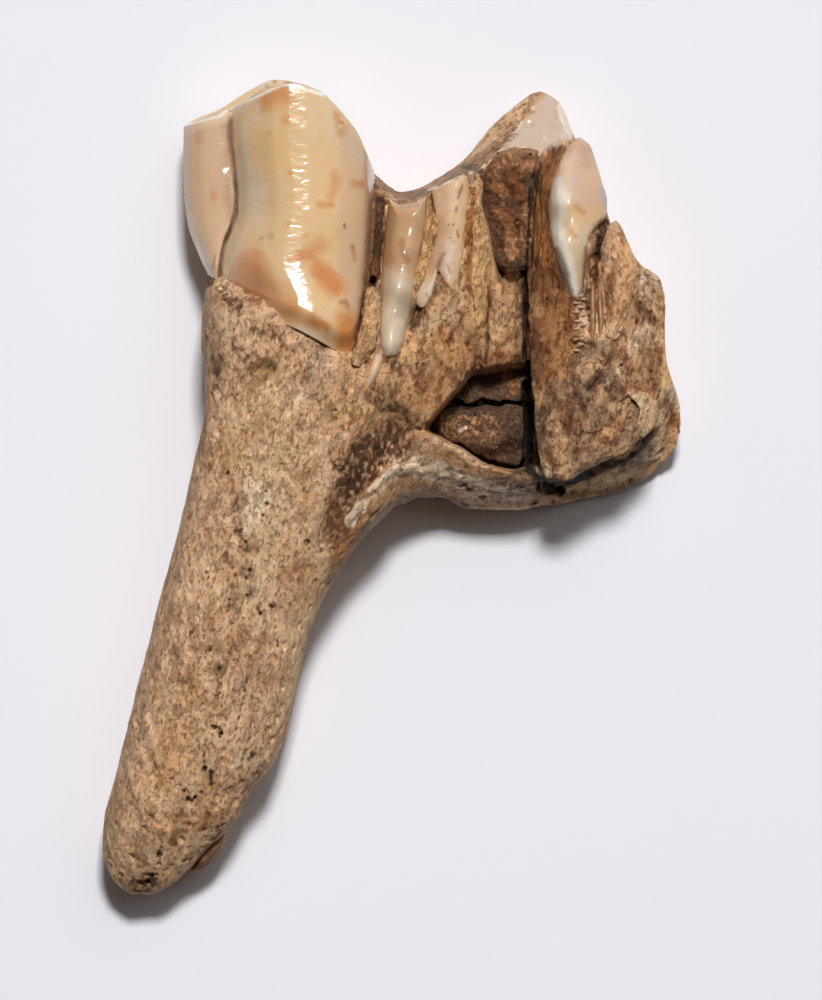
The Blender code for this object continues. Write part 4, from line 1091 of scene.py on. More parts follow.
def body():
    """Root, broken crown and slab as one skin, finer where it faces up, parted in three."""
    skin = one_skin([root(), middle_and_back(), slab()])
    refine(skin)
    move_points(skin, body_relief(points_of(skin), normals_of(skin)))
    holes = [("near_black", 0.8, radius, [(x, y)]) for x, y, radius in HOLES]
    keep_tint(skin, BODY_ZONES, BODY_MARKS + holes)
    store(skin, "cement", zone(points_of(skin), CEMENT_ZONE))
    store(skin, "glaze", zone(points_of(skin), GLAZED, 4))
    move_points(skin, in_frame(points_of(skin)))
    middles = np.empty(len(skin.polygons) * 3)
    skin.polygons.foreach_get("center", middles)
    middles = middles.reshape(-1, 3) / MM
    root_side = (middles[:, 0] < ROOT_PART[0]) & (middles[:, 1] < ROOT_PART[1])
    back = middles[:, 0] > BACK_PART
    parts = split(skin, {"root_cement": root_side, "broken_crown": ~root_side & ~back, "back_lobe": back})
    bpy.data.meshes.remove(skin)
    return parts


# Front lobe: Y and X of the groove beside the front fold
FOLD_GROOVE = [
    (22.2, -8.6), (19.7, -8.64), (18.8, -8.69), (17.1, -8.48), (15.7, -8.32), (14.7, -8.37),
    (13.9, -8.59), (13.1, -8.91), (12.0, -9.18), (11.0, -9.3), (6.0, -9.3),
]
GROOVE_SHARE = 0.255
# Points round the lobe, and its rings from the worn end to the lower margin
LOBE_AROUND = 420
LOBE_RINGS = 170
# The worn end: where its hollow starts, how deep it is below the enamel's rim, how many of its rings
# are bare of enamel, and how far they take the look of worn dentine
WORN_INWARD = 0.86
RIM_DIP = 0.06
WORN_DIP = 0.4
WORN_RINGS = 34
WORN_SHARE = 0.95
# How far the enamel thins at its lower margin
MARGIN_DROP = 0.7
# How far the crest of the lobe moves to the right below this Y, and over what length
CREST_SHIFT = 0.3
CREST_SHIFT_BELOW = 12.3
CREST_SHIFT_OVER = 2.6
# Rings that close the lobe below its margin, as shares of the way out from a point at this height
CLOSING = (0.985, 0.96, 0.92, 0.85)
CLOSING_HEIGHT = 5.0


def front_lobe():
    """The glossy front lobe, with its narrow fold at the left and its worn end."""
    stations = np.array(FRONT_LOBE + FRONT_LOBE[:1], float)
    turn = np.arange(len(stations))
    share = follow(np.column_stack([turn, stations]), np.linspace(0, len(FRONT_LOBE), LOBE_AROUND + 1)[:-1])
    across = share[:, 0]
    rings = []
    for down in np.linspace(0, 1, LOBE_RINGS):
        y = share[:, 2] + (share[:, 3] - share[:, 2]) * down
        left, right, low, high = follow(FRONT_LOBE_SIZE, y).T
        groove = follow(FOLD_GROOVE, y)[:, 0]
        fold = left + (groove - left) * across / GROOVE_SHARE
        bend = 1 - CREST_SHIFT * smooth_step((CREST_SHIFT_BELOW - y) / CREST_SHIFT_OVER)
        face = groove + (right - groove) * np.clip((across - GROOVE_SHARE) / (1 - GROOVE_SHARE), 0, 1) ** bend
        x = np.where(across < GROOVE_SHARE, fold, face)
        high = high - MARGIN_DROP * smooth_step((down - 0.9) / 0.1) * share[:, 1]
        rings.append(np.column_stack([x, y, low + (high - low) * share[:, 1]]))
    margin = rings[-1]
    under = np.array((margin[:, 0].mean(), margin[:, 1].mean(), CLOSING_HEIGHT))
    for inward in CLOSING:
        ring = under + (margin - under) * inward
        ring[:, 1] -= 0.12 * (1 - (inward - 0.85) / 0.15)
        rings.append(ring)
    end = rings[0]
    centre = end.mean(axis=0)
    for inward in np.concatenate([[0.99, 0.98], np.linspace(0.965, 0.1, 40)]):
        ring = centre + (end - centre) * inward
        ring[:, 1] -= RIM_DIP * smooth_step((1 - inward) / 0.02)
        ring[:, 1] -= WORN_DIP * smooth_step((WORN_INWARD - inward) / 0.2)
        rings.insert(0, ring)
    bare = WORN_RINGS * LOBE_AROUND
    worn = np.zeros(len(rings) * LOBE_AROUND + 2)
    worn[:bare] = WORN_SHARE
    worn[-2] = 1.0
    return *loft(rings), worn


def lobe_piece(material):
    """The front lobe, with faint waves in its enamel and a rough worn end."""
    points, faces, worn = front_lobe()
    data = mesh_of("front_lobe", points, faces)
    normals = normals_of(data)
    rough = noise(points, (0.25, 0.25, 0.25), 51) * 0.05 + noise(points, (0.5, 0.5, 0.5), 52) * 0.06
    waves = 0.006 * noise(points, (0.5, 0.34, 0.5), 53) + 0.04 * noise(points, (1.8, 1.6, 1.8), 54)
    moved = points + normals * (rough * worn + waves * (1 - worn))[:, None]
    move_points(data, moved)
    keep_tint(data, LOBE_ZONES, LOBE_MARKS, 1.3, 1.2, 23)
    store(data, "worn", worn)
    piece("front_lobe_enamel", data, material)


# Fine parts of the broken crown that stand free of the surface. Each row: pixel, half width in pixels,
# height of the top, and how far the rounded back rises above its sides, in millimetres
BARS = {
    "brown_strip": ("dentine", 2.2, 0.03, [
        (592, 288, 2, 7.9, 0.3), (592, 300, 3, 8.1, 0.3), (592, 325, 3, 8.25, 0.3),
        (591, 342, 2, 8.15, 0.2),
    ]),
    "second_brown_strip": ("dentine", 2.2, 0.03, [
        (599, 286, 1.6, 7.8, 0.3), (599, 300, 2.4, 8.0, 0.3), (600, 322, 2.4, 8.2, 0.3),
        (599, 338, 1.6, 8.1, 0.2),
    ]),
    "cement_sliver": ("cement", 2.4, 0.08, [
        (370, 289, 3, 8.7, 0.5), (372, 297, 8, 9.2, 0.6), (372, 318, 9, 9.45, 0.6),
        (368, 338, 9.5, 9.65, 0.6), (363, 352, 8, 9.7, 0.4), (356, 366, 5, 9.6, 0.3),
    ]),
    "enamel_chip": ("chip", 2.2, 0.01, [
        (382, 351, 2, 8.9, 0.2), (378, 361, 5, 9.3, 0.3), (373, 374, 5, 9.5, 0.3),
        (368, 386, 2.5, 9.4, 0.2),
    ]),
    "tip_splinter": ("cement", 2.4, 0.05, [
        (224, 829, 4, 4.2, 1.2), (214, 845, 9, 4.0, 1.4), (203, 859, 8, 3.6, 1.4),
        (192, 872, 3, 3.0, 1.0),
    ]),
}
# Fine parts that lie on the surface: kind, rise, width of the rounded edge in pixels, roughness of the
# surface in millimetres, and outline in pixels
PLATES = {
    "first_ridge": ("enamel", 0.85, 17, 0.012, [
        (389, 199), (400, 206), (414, 204), (427, 197), (426, 222), (420, 255), (414, 288), (409, 320),
        (404, 345), (396, 357), (386, 359), (380, 348), (379, 318), (381, 280), (385, 232),
    ]),
    "second_ridge": ("chip", 0.14, 5, 0.025, [
        (431, 190), (448, 184), (466, 177), (469, 192), (466, 215), (463, 240), (462, 262), (458, 280),
        (451, 290), (444, 282), (438, 272), (434, 286), (429, 301), (421, 309), (415, 302), (420, 286),
        (427, 268), (433, 250), (437, 230), (434, 208),
    ]),
    "slab_enamel": ("enamel", 0.42, 9, 0.012, [
        (579, 138), (589, 146), (596, 164), (602, 184), (607, 203), (605, 217), (596, 228), (589, 238),
        (585, 262), (583, 288), (577, 302), (570, 298), (562, 278), (555, 256), (550, 230), (548, 206),
        (551, 188), (558, 166), (568, 147),
    ]),
    "orange_ridge": ("cement", 0.45, 12, 0.06, [
        (616, 220), (623, 234), (631, 252), (636, 270), (634, 286), (625, 318), (613, 341), (604, 338),
        (606, 306), (600, 272), (600, 256), (607, 230),
    ]),
    "pale_lamina": ("cement", 0.2, 4, 0.04, [
        (630, 397), (641, 392), (652, 400), (656, 414), (651, 429), (641, 437), (636, 425), (639, 411),
    ]),
    "cement_crumbs": ("cement", 0.35, 5, 0.1, [
        (434, 209), (438, 224), (434, 246), (429, 262), (425, 280), (416, 293), (411, 284), (417, 262),
        (422, 240), (426, 222),
    ]),
    "dentine_strip": ("cement", 0.35, 6, 0.06, [
        (476, 212), (484, 221), (489, 238), (491, 262), (488, 290), (484, 322), (476, 332), (471, 292),
        (471, 250),
    ]),
}
# Plates to the right of this pixel lie on the slab. Then how far a plate's edge is sunk into what
# carries it, and how deep its foot goes
SLAB_FROM = 540
PLATE_EDGE = 0.07
PLATE_DEPTH = 0.9
# Tiny dashes of enamel: pixel and size in pixels
BEADS = [
    (574, 289, 3.0), (580, 291, 2.6), (577, 297, 3.2), (583, 300, 2.4), (575, 304, 2.4), (580, 308, 3.2),
    (575, 313, 2.8), (581, 316, 2.6), (577, 322, 3.0), (582, 326, 2.2), (576, 330, 2.6), (580, 336, 2.6),
    (575, 340, 2.4), (580, 345, 2.8), (576, 351, 3.0),
]
BEAD_RISE = 0.08
BEAD_SINK = 0.01
# How deep a bar goes below its rounded back
BAR_ROOTING = 0.9


def bar(rows, power, around=48, step=0.07):
    """A bar along a line in the photograph, with a rounded back and straight sides that go into the body."""
    rows = np.array(rows, float)
    x, y = from_pixel(rows[:, 0], rows[:, 1])
    length = np.concatenate([[0], np.cumsum(np.hypot(np.diff(x), np.diff(y)))])
    table = np.column_stack([length, x, y, rows[:, 2] * PIXEL, rows[:, 3], rows[:, 4]])
    line = follow(table, np.linspace(0, length[-1], max(16, int(length[-1] / step))))
    ahead = np.gradient(line[:, :2], axis=0)
    ahead /= np.linalg.norm(ahead, axis=1)[:, None]
    around = max(around, int(rows[:, 2].max() * 6))
    angles = ring_angles(around)
    rings = []
    for (cx, cy, half, top, rise), (ax, ay) in zip(line, ahead):
        across = half * rounded(np.cos(angles), power)
        up = rounded(np.sin(angles), power)
        z = top - rise + np.where(up > 0, rise, BAR_ROOTING) * up
        rings.append(np.column_stack([cx - ay * across, cy + ax * across, z]))
    return loft(rings)


def plate(outline, rise, soft):
    """A plate with a rounded edge, on the surface of the slab or of the middle of the tooth."""
    under = SLAB_SURFACE if min(px for px, py in outline) > SLAB_FROM else MIDDLE_SURFACE

    def height(x, y, share):
        px, py = pixel_of(np.column_stack([x, y, y]))
        inside = np.clip(depth_inside(px, py, outline) / soft, 0, 1)
        return under(x, y) - PLATE_EDGE + rise * np.sqrt(1 - (1 - inside) ** 2)

    return filling(outline, height, PLATE_DEPTH)


def fine_pieces(materials):
    """The bars and the plates, each with a finely uneven surface."""
    shapes = [(name, kind, depth, bar(rows, power)) for name, (kind, power, depth, rows) in BARS.items()]
    for name, (kind, rise, soft, depth, outline) in PLATES.items():
        shapes.append((name, kind, depth, plate(outline, rise, soft)))
    for name, kind, depth, (points, faces) in shapes:
        data = mesh_of(name, points, faces)
        size = 0.3 if kind == "cement" else 0.45
        lumps = noise(points, (size, size * 1.4, size), 61)
        lumps += 0.6 * noise(points, (size / 2, size / 1.5, size / 2), 62)
        move_points(data, points + normals_of(data) * (depth * lumps)[:, None])
        keep_tint(data, [], BAR_MARKS, 1.2, 0.8, 29)
        store(data, "cement", np.full(len(points), float(kind == "cement")))
        piece(name, data, materials[kind])


def bead_pieces(material):
    """The row of tiny enamel dashes under the slab's enamel, as one piece."""
    mesh = bmesh.new()
    for px, py, radius in BEADS:
        x, y = from_pixel(px, py)
        wide = radius * PIXEL
        made = bmesh.ops.create_icosphere(mesh, subdivisions=3, radius=1.0)["verts"]
        for vertex in made:
            side, along, up = vertex.co
            high = SLAB_SURFACE(x, y) + up * BEAD_RISE - BEAD_SINK
            vertex.co = Vector((x + side * wide * 1.3, y + along * wide * 0.5, high))
    data = bpy.data.meshes.new("beads")
    mesh.to_mesh(data)
    mesh.free()
    keep_tint(data, [], BAR_MARKS, 1.2, 0.6, 29)
    piece("enamel_beads", data, material)


# Earth in the two hollows: outline in pixels
CAVITY_OUTLINE = [
    (478, 366), (500, 365), (524, 364), (529, 385), (530, 404), (531, 430), (532, 462), (524, 472),
    (508, 474), (488, 468), (464, 455), (444, 441), (434, 428), (437, 410), (455, 390),
]
CAVITY_CRACK = [
    (430, 412), (438, 411), (446, 404), (455, 402), (468, 406), (477, 404), (485, 402), (500, 405),
    (506, 402), (530, 405),
]
CAVITY_GAP = [
    (456, 447), (464, 452), (476, 459), (490, 464), (508, 470), (520, 469), (528, 460), (528, 430),
    (526, 405), (526, 385),
]
FOSSETTE_OUTLINE = [
    (472, 178), (484, 170), (500, 152), (525, 149), (538, 152), (534, 190), (529, 230), (528, 268),
    (508, 272), (498, 268), (489, 248), (484, 222), (476, 200),
]


def filling(outline, height, depth, around=220, inward=50):
    """A lump with an outline in pixels, the height of its top at each X and Y, and the depth of its foot."""
    corners = np.array([from_pixel(px, py) for px, py in outline + outline[:1]])
    length = np.concatenate([[0], np.cumsum(np.hypot(*np.diff(corners, axis=0).T))])
    edge = follow(np.column_stack([length, corners]), np.linspace(0, length[-1], around + 1)[:-1])
    centre = edge.mean(axis=0)
    rings = []
    for share in np.linspace(1, 0.01, inward):
        flat = centre + (edge - centre) * share
        rings.append(np.column_stack([flat, height(flat[:, 0], flat[:, 1], share)]))
    foot = rings[0] - np.array((0, 0, depth))
    return loft([foot] + rings)


# How far the earth goes down below its edge
EARTH_DEPTH = 2.4


def cavity_height(x, y, share):
    """Height of the cracked earth in the root cavity. Share is 1 at the edge and 0 in the middle."""
    points = np.column_stack([x, y, np.zeros(len(x))])
    px, py = pixel_of(points)
    wander = 2.0 * noise(points, (0.35, 0.35, 1), 71)
    crack = distance_to_line(px, py, CAVITY_CRACK) + wander
    gap = distance_to_line(px, py, CAVITY_GAP) + wander
    lump = smooth_step((40 - np.hypot((px - 484) / 1.35, (py - 430) / 0.75)) / 22)
    high = np.where(py < 405, 4.7 - 0.3 * smooth_step((400 - py) / 30), 4.7 + 0.9 * lump)
    high -= 1.5 * smooth_step((3.2 - crack) / 2.2) + 1.8 * smooth_step((5.0 - gap) / 3.0)
    rough = 0.12 * noise(points, (0.5, 0.5, 1), 72) + 0.07 * noise(points, (0.2, 0.2, 1), 73)
    rough += 0.03 * noise(points, (0.1, 0.1, 1), 74)
    return high + rough - 0.5 * smooth_step((share - 0.9) / 0.1)


def fossette_height(x, y, share):
    """Height of the crumbly earth in the pit of the chewing surface. Share is 1 at the edge."""
    points = np.column_stack([x, y, np.zeros(len(x))])
    py = pixel_of(points)[1]
    high = 6.1 - 0.35 * smooth_step((py - 165) / 60) + 0.2 * smooth_step((py - 235) / 20)
    rough = 0.22 * noise(points, (0.6, 0.6, 1), 75) + 0.14 * noise(points, (0.25, 0.3, 1), 76)
    rough += 0.06 * noise(points, (0.12, 0.12, 1), 77)
    return high + rough - 0.4 * smooth_step((share - 0.92) / 0.08)


# Marks on the earth
EARTH_MARKS = [
    ("tan", 0.9, 10, [(503, 158), (534, 158)]), ("sand", 0.7, 3, [(502, 194), (504, 204)]),
    ("tan", 0.7, 3, [(525, 200), (524, 246)]), ("peach", 0.85, 5, [(509, 238), (513, 256)]),
    ("tan", 0.6, 4, [(486, 168), (496, 178)]), ("ochre", 0.5, 4, [(514, 184), (520, 194)]),
    # Painted glints: the white specks on the earth in the root cavity
    ("tan", 0.35, 12, [(446, 425), (490, 430)]), ("white", 0.9, 1.4, [(460, 430), (465, 428)]),
    ("white", 0.7, 1.0, [(497, 447)]), ("white", 0.6, 0.9, [(463, 399)]),
    ("ochre", 0.5, 6, [(506, 374), (516, 392)]), ("near_black", 0.6, 6, [(483, 200)]),
    ("near_black", 0.7, 4, [(497, 222)]), ("near_black", 0.5, 4, [(486, 190)]),
    ("umber", 0.6, 22, [(498, 180), (508, 240)]),
    # Painted shade along the long crack in the first mark of this line
    ("near_black", 0.8, 1.3, [(526, 270), (529, 200), (534, 165)]), ("dark", 0.6, 8, [(505, 440), (520, 450)]),
    ("ochre", 0.7, 4, [(494, 186), (504, 192)]), ("ochre", 0.6, 5, [(500, 212), (510, 224)]),
    # Painted shade in the crack and the gap of the cavity's earth, in the last two marks
    ("brick", 0.7, 6, [(515, 176), (520, 196)]), ("near_black", 0.9, 2, CAVITY_CRACK),
    ("near_black", 0.95, 4, CAVITY_GAP),
]


def earth_pieces(material):
    """The earth in the two hollows, each in place of its node."""
    kinds = (
        ("cavity_fill", CAVITY_OUTLINE, cavity_height, "earth", "cavity_earth"),
        ("fossette_fill", FOSSETTE_OUTLINE, fossette_height, "fossette_earth", "fossette_earth"),
    )
    for name, outline, height, slot, node in kinds:
        data = mesh_of(name, *filling(outline, height, EARTH_DEPTH))
        keep_tint(data, [], EARTH_MARKS, 2.4, 0.5, 33)
        piece(name, data, material, (node,))


def node(tree, kind, settings=(), **inputs):
    """A new node. Each input is a number, a tuple or the output of another node."""
    made = tree.nodes.new(kind)
    for name, value in dict(settings).items():
        setattr(made, name, value)
    for name, value in inputs.items():
        socket = made.inputs[int(name[1:])] if name[0] == "_" else made.inputs[name.replace("_", " ")]
        if isinstance(value, bpy.types.NodeSocket):
            tree.links.new(value, socket)
        else:
            socket.default_value = value
    return made


def grown(tree, size, turn=0.0):
    """Coordinates measured in grains of the given size in millimetres, turned about Z."""
    place = node(tree, "ShaderNodeTexCoord").outputs["Object"]
    scale = tuple(side * MM for side in size)
    kind = {"vector_type": "TEXTURE"}
    turned = node(tree, "ShaderNodeMapping", kind, Vector=place, Rotation=(0, 0, turn), Scale=scale)
    return turned.outputs[0]


def grain(tree, size, low, high, turn=0.0, detail=4.0, roughness=0.6, warp=0.0):
    """Noise cut to run from 0 at its low value to 1 at its high value."""
    place = grown(tree, size, turn)
    look = {"Detail": detail, "Roughness": roughness, "Distortion": warp}
    made = node(tree, "ShaderNodeTexNoise", Vector=place, Scale=1.0, **look)
    return between(tree, made.outputs[0], low, high)


def between(tree, value, low, high, out_low=0.0, out_high=1.0):
    """A value carried smoothly from one range to another."""
    made = node(tree, "ShaderNodeMapRange", {"interpolation_type": "SMOOTHSTEP"}, Value=value)
    made.inputs["From Min"].default_value = low
    made.inputs["From Max"].default_value = high
    made.inputs["To Min"].default_value = out_low
    made.inputs["To Max"].default_value = out_high
    return made.outputs[0]


def times(tree, first, second):
    """The product of two values."""
    return math_of(tree, "MULTIPLY", first, second)


def math_of(tree, operation, first, second=0.0):
    """The result of a sum, a product or the like of two values."""
    return node(tree, "ShaderNodeMath", {"operation": operation}, _0=first, _1=second).outputs[0]


def mixed(tree, share, first, second, blend="MIX"):
    """Two colours mixed. A colour is a tuple of three or an output."""
    made = node(tree, "ShaderNodeMix", {"data_type": "RGBA", "blend_type": blend}, Factor=share)
    for socket, colour in ((made.inputs[6], first), (made.inputs[7], second)):
        if isinstance(colour, tuple):
            socket.default_value = (*colour, 1)
        else:
            tree.links.new(colour, socket)
    return made.outputs[2]


def pits(tree, size, radius, rare, turn=0.0, warp=0.35):
    """Irregular specks: one in each cell, from none to the given radius, and fewer the rarer they are."""
    place = grown(tree, size, turn)
    stir = node(tree, "ShaderNodeTexNoise", Vector=place, Scale=2.2, Detail=2.0).outputs["Color"]
    moved = mixed(tree, warp, place, stir, "LINEAR_LIGHT")
    cells = node(tree, "ShaderNodeTexVoronoi", Vector=moved, Scale=1.0)
    chance = node(tree, "ShaderNodeSeparateColor", Color=cells.outputs["Color"]).outputs[0]
    reach = between(tree, chance, rare, 1.0, 0.0, radius)
    depth = math_of(tree, "SUBTRACT", reach, cells.outputs["Distance"])
    return between(tree, depth, -0.02, 0.07)


def mask(tree, name):
    """The values kept on the points under the given name."""
    return node(tree, "ShaderNodeAttribute", {"attribute_name": name}).outputs["Fac"]


def painted(tree, colour, edge, patchy):
    """A colour with the painted tint over it, patchy where the paint only partly covers."""
    tint = node(tree, "ShaderNodeAttribute", {"attribute_name": "tint"})
    ragged = times(tree, math_of(tree, "SUBTRACT", edge, 0.5), patchy)
    covered = math_of(tree, "ADD", tint.outputs["Alpha"], ragged)
    share = between(tree, covered, patchy / 2 - 0.1, 1.0 - patchy / 2)
    return mixed(tree, share, colour, tint.outputs["Color"])


def shade(tree, colour, share, strength):
    """A colour made darker, or lighter where the strength is above one, over the share given."""
    if not isinstance(strength, tuple):
        strength = (strength,) * 3
    return mixed(tree, share, colour, mixed(tree, 1.0, colour, strength, "MULTIPLY"))


def begun(name):
    """A new material, its nodes and its shader."""
    made = bpy.data.materials.new(name)
    made.use_nodes = True
    tree = made.node_tree
    return made, tree, tree.nodes["Principled BSDF"]


def bumped(tree, shader, height, distance):
    """Fine relief for a shader, as high as the distance in millimetres."""
    bump = node(tree, "ShaderNodeBump", Height=height, Distance=distance * MM, Strength=1.0)
    tree.links.new(bump.outputs[0], shader.inputs["Normal"])


TAN = (0.70, 0.47, 0.29)
OCHRE = (0.50, 0.29, 0.15)
GREYISH = (0.46, 0.35, 0.26)
BROWN = (0.23, 0.12, 0.06)
DARK_BROWN = (0.10, 0.054, 0.03)
DIRT_SHADE = (0.48, 0.33, 0.22)
SPECK_SHADE = (0.42, 0.24, 0.13)
WARM_GAIN = (1.12, 1.06, 0.99)
ENAMEL_GAIN = (1.06, 1.08, 1.12)
EARTH_GAIN = (1.08, 0.93, 0.88)


def weathered(name):
    """Root cement and broken dentine: mottled, crumbly, streaked, pitted and stained."""
    made, tree, shader = begun(name)
    cement = mask(tree, "cement")
    plain = math_of(tree, "SUBTRACT", 1.0, mask(tree, "glaze"))
    broken = math_of(tree, "SUBTRACT", 1.0, cement)

    def share(value, amount):
        return times(tree, times(tree, value, amount), plain)

    colour = mixed(tree, grain(tree, (1.5, 2.1, 1.5), 0.42, 0.66, ROOT_LEAN, 9.0, 0.6), TAN, OCHRE)
    greyer = grain(tree, (1.9, 2.6, 1.9), 0.56, 0.72, ROOT_LEAN, 7.0)
    colour = mixed(tree, share(greyer, 0.5), colour, GREYISH)
    edge = grain(tree, (0.4, 0.5, 0.4), 0.3, 0.7, 0, 8.0, 0.75)
    colour = painted(tree, colour, edge, 0.4)
    pale = grain(tree, (0.55, 0.75, 0.55), 0.5, 0.6, ROOT_LEAN, 9.0, 0.7)
    colour = shade(tree, colour, share(pale, 0.6), 1.4)
    crumbs = grain(tree, (0.2, 0.26, 0.2), 0.5, 0.58, ROOT_LEAN, 5.0, 0.7)
    colour = shade(tree, colour, share(crumbs, 0.5), 1.3)
    mottle = grain(tree, (0.55, 1.15, 0.55), 0.53, 0.59, ROOT_LEAN, 10.0, 0.72)
    amount = math_of(tree, "ADD", times(tree, broken, 0.4), 0.4)
    colour = shade(tree, colour, share(mottle, amount), DIRT_SHADE)
    specks = grain(tree, (0.18, 0.34, 0.18), 0.57, 0.61, ROOT_LEAN, 5.0, 0.65)
    colour = shade(tree, colour, share(specks, 0.7), SPECK_SHADE)
    streak = grain(tree, (0.14, 1.1, 0.3), 0.6, 0.68, ROOT_LEAN, 4.0, 0.6, 0.4)
    streaks = share(streak, times(tree, cement, 0.6))
    colour = mixed(tree, streaks, colour, BROWN)
    large = pits(tree, (0.8, 1.2, 0.8), 0.2, 0.76, ROOT_LEAN, 0.9)
    colour = mixed(tree, share(large, 0.8), colour, DARK_BROWN)
    colour = mixed(tree, 1.0, colour, WARM_GAIN, "MULTIPLY")
    tree.links.new(colour, shader.inputs["Base Color"])
    rough = math_of(tree, "SUBTRACT", 0.85, times(tree, broken, 0.25))
    rough = times(tree, rough, between(tree, plain, 0.0, 1.0, 0.3, 1.0))
    tree.links.new(rough, shader.inputs["Roughness"])
    shader.inputs["Specular IOR Level"].default_value = 0.35
    height = times(tree, math_of(tree, "ADD", edge, crumbs), 0.6)
    for dip, deep in ((specks, 0.6), (mottle, 0.8), (streaks, 1.0), (large, 1.0)):
        height = math_of(tree, "SUBTRACT", height, times(tree, dip, deep))
    bumped(tree, shader, times(tree, height, plain), 0.042)
    return made


CREAM_ENAMEL = (0.66, 0.475, 0.285)
WARM_ENAMEL = (0.69, 0.43, 0.19)
GREY_ENAMEL = (0.60, 0.50, 0.385)
FRECKLE = (0.42, 0.19, 0.06)
WORN_BONE = (0.56, 0.39, 0.25)
WORN_BONE_DARK = (0.40, 0.25, 0.15)


def enamel(name, base=CREAM_ENAMEL, worn=True, gloss=(0.13, 0.2), ripple=0.0065):
    """Glossy enamel with fine growth lines across it, rust stains and a dull worn end."""
    made, tree, shader = begun(name)
    colour = mixed(tree, grain(tree, (3.5, 4.5, 3.5), 0.38, 0.62, 0, 3.0), base, WARM_ENAMEL)
    greyer = times(tree, grain(tree, (2.2, 3.0, 2.2), 0.52, 0.72, 0, 4.0), 0.5)
    colour = mixed(tree, greyer, colour, GREY_ENAMEL)
    cloud = grain(tree, (0.5, 0.6, 0.5), 0.3, 0.7, 0, 5.0, 0.6)
    freckles = times(tree, pits(tree, (0.9, 1.0, 0.9), 0.12, 0.6), 0.35)
    colour = mixed(tree, freckles, colour, FRECKLE)
    colour = painted(tree, colour, cloud, 0.15)
    roughness = between(tree, grain(tree, (1.2, 1.5, 1.2), 0.35, 0.7, 0, 3.0), 0.0, 1.0, *gloss)
    if worn:
        dull = mask(tree, "worn")
        bone = mixed(tree, grain(tree, (0.5, 0.5, 0.5), 0.4, 0.65, 0, 5.0), WORN_BONE, WORN_BONE_DARK)
        bone = mixed(tree, pits(tree, (0.4, 0.4, 0.4), 0.3, 0.3), bone, BROWN)
        colour = mixed(tree, dull, colour, bone)
        roughness = math_of(tree, "MAXIMUM", roughness, times(tree, dull, 0.8))
    colour = mixed(tree, 1.0, colour, ENAMEL_GAIN, "MULTIPLY")
    tree.links.new(colour, shader.inputs["Base Color"])
    tree.links.new(roughness, shader.inputs["Roughness"])
    shader.inputs["Subsurface Weight"].default_value = 0.25
    shader.inputs["Subsurface Radius"].default_value = (1.0, 0.6, 0.35)
    shader.inputs["Subsurface Scale"].default_value = 0.6 * MM
    lines = grain(tree, (0.55, 0.3, 0.55), 0.3, 0.7, 0, 1.0, 0.5, 0.3)
    dimples = grain(tree, (0.45, 0.45, 0.45), 0.3, 0.7, 0, 2.0)
    height = math_of(tree, "ADD", lines, times(tree, dimples, 0.25))
    bumped(tree, shader, height, ripple)
    return made


EARTH = (0.19, 0.12, 0.07)
EARTH_DARK = (0.11, 0.068, 0.042)
EARTH_PALE = (0.33, 0.22, 0.13)
EARTH_PIT = (0.035, 0.02, 0.014)
AMBER = (0.50, 0.27, 0.12)
AMBER_DARK = (0.36, 0.165, 0.065)


def dried_earth(name):
    """Dark crumbly earth with paler crumbs and small holes."""
    made, tree, shader = begun(name)
    colour = mixed(tree, grain(tree, (0.9, 0.9, 0.9), 0.35, 0.65, 0, 6.0), EARTH, EARTH_DARK)
    colour = mixed(tree, grain(tree, (0.22, 0.22, 0.22), 0.55, 0.65, 0, 6.0, 0.7), colour, EARTH_PALE)
    crumb = grain(tree, (0.25, 0.3, 0.25), 0.35, 0.6, 0, 6.0, 0.7)
    colour = painted(tree, colour, crumb, 0.5)
    holes = pits(tree, (0.3, 0.3, 0.3), 0.3, 0.5)
    colour = mixed(tree, holes, colour, EARTH_PIT)
    colour = mixed(tree, 1.0, colour, EARTH_GAIN, "MULTIPLY")
    tree.links.new(colour, shader.inputs["Base Color"])
    shader.inputs["Roughness"].default_value = 0.9
    shader.inputs["Specular IOR Level"].default_value = 0.25
    bumped(tree, shader, math_of(tree, "SUBTRACT", crumb, holes), 0.1)
    return made


def amber_dentine(name):
    """Smooth orange dentine beside the enamel."""
    made, tree, shader = begun(name)
    colour = mixed(tree, grain(tree, (0.8, 1.2, 0.8), 0.35, 0.65, 0, 5.0), AMBER, AMBER_DARK)
    cloud = grain(tree, (0.4, 0.6, 0.4), 0.45, 0.75, 0, 6.0)
    colour = painted(tree, colour, cloud, 0.3)
    colour = mixed(tree, times(tree, cloud, 0.6), colour, BROWN)
    tree.links.new(colour, shader.inputs["Base Color"])
    shader.inputs["Roughness"].default_value = 0.38
    bumped(tree, shader, grain(tree, (0.3, 0.45, 0.3), 0.3, 0.7, 0, 4.0), 0.03)
    return made


FLOOR = (0.858, 0.852, 0.897)
FLOOR_PALE = (0.862, 0.856, 0.901)


def painted_floor(name):
    """A plain pale surface with the faintest grain."""
    made, tree, shader = begun(name)
    colour = mixed(tree, grain(tree, (40, 40, 40), 0.3, 0.7), FLOOR, FLOOR_PALE)
    tree.links.new(colour, shader.inputs["Base Color"])
    shader.inputs["Roughness"].default_value = 0.65
    shader.inputs["Specular IOR Level"].default_value = 0.2
    return made


# Height at which a pixel of the render is as large as a pixel of the photograph, and the camera's
# distance from there, in metres
FRAMED_HEIGHT = 0.004
CAMERA_DISTANCE = 0.8


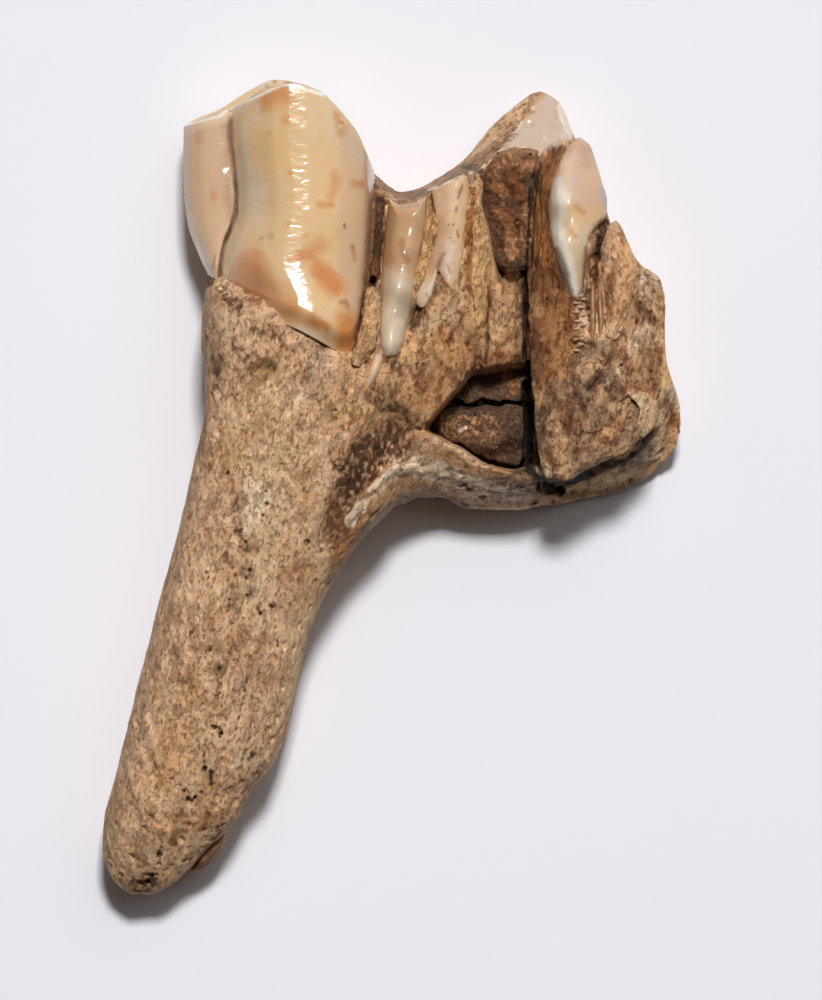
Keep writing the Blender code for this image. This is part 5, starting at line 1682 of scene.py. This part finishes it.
def camera_over_tooth():
    """A long lens straight above the tooth, framed like the photograph."""
    data = bpy.data.cameras.new("camera")
    obj = bpy.data.objects.new("camera", data)
    bpy.context.scene.collection.objects.link(obj)
    x, y = from_pixel(PHOTO_SIZE[0] / 2, PHOTO_SIZE[1] / 2)
    obj.location = ((x - MIDDLE[0]) * MM, (y - MIDDLE[1]) * MM, FRAMED_HEIGHT + CAMERA_DISTANCE)
    data.sensor_fit = "VERTICAL"
    data.sensor_height = 24
    data.lens = data.sensor_height * CAMERA_DISTANCE / (PHOTO_SIZE[1] * PIXEL * MM)
    data.clip_end = 10
    bpy.context.scene.camera = obj


# Name, azimuth and elevation in degrees, distance and size in metres, and power in watts
LIGHTS = [
    ("key", 84, 63, 1.5, 0.2, 19.4),
    ("side", 60, 55, 1.5, 1.3, 4.6),
    ("fill", 178, 45, 1.5, 0.8, 0.6),
]


def area_light(name, azimuth, elevation, distance, size, power):
    """A square soft light that faces the tooth. Azimuth runs anticlockwise from +X."""
    data = bpy.data.lights.new(name, "AREA")
    data.size = size
    data.energy = power
    obj = bpy.data.objects.new(name, data)
    a, e = math.radians(azimuth), math.radians(elevation)
    away = Vector((math.cos(a) * math.cos(e), math.sin(a) * math.cos(e), math.sin(e)))
    obj.location = away * distance
    obj.rotation_euler = away.to_track_quat("Z", "Y").to_euler()
    bpy.context.scene.collection.objects.link(obj)


def studio():
    """The pale floor, the lights and the world."""
    floor = bpy.data.meshes.new("floor")
    floor.from_pydata([(-2, -2, 0), (2, -2, 0), (2, 2, 0), (-2, 2, 0)], [], [(0, 1, 2, 3)])
    surface = bpy.data.objects.new("floor", floor)
    bpy.context.scene.collection.objects.link(surface)
    floor.materials.append(painted_floor("pale_floor"))
    for light in LIGHTS:
        area_light(*light)
    world = bpy.data.worlds.new("world")
    bpy.context.scene.world = world
    world.use_nodes = True
    background = world.node_tree.nodes["Background"].inputs
    background["Color"].default_value = (0.9, 0.92, 1.0, 1)
    background["Strength"].default_value = 0.022
    bpy.context.scene.view_settings.view_transform = "Standard"


def main():
    """The camera, the studio, the materials and every piece of the tooth."""
    camera_over_tooth()
    studio()
    bone = weathered("cement_and_dentine")
    glossy = enamel("front_enamel")
    materials = {
        "cement": bone,
        "enamel": enamel("broken_enamel", (0.58, 0.42, 0.27), False, (0.18, 0.26), 0.005),
        "chip": enamel("grey_enamel", (0.46, 0.36, 0.28), False, (0.45, 0.6), 0.012),
        "dentine": amber_dentine("amber_dentine"),
    }
    for data, name in zip(body(), ("root_cement", "broken_crown", "back_lobe")):
        finished(name, data, bone, ("molar",) if name == "broken_crown" else ())
    lobe_piece(glossy)
    fine_pieces(materials)
    bead_pieces(materials["chip"])
    earth_pieces(dried_earth("dried_earth"))


main()
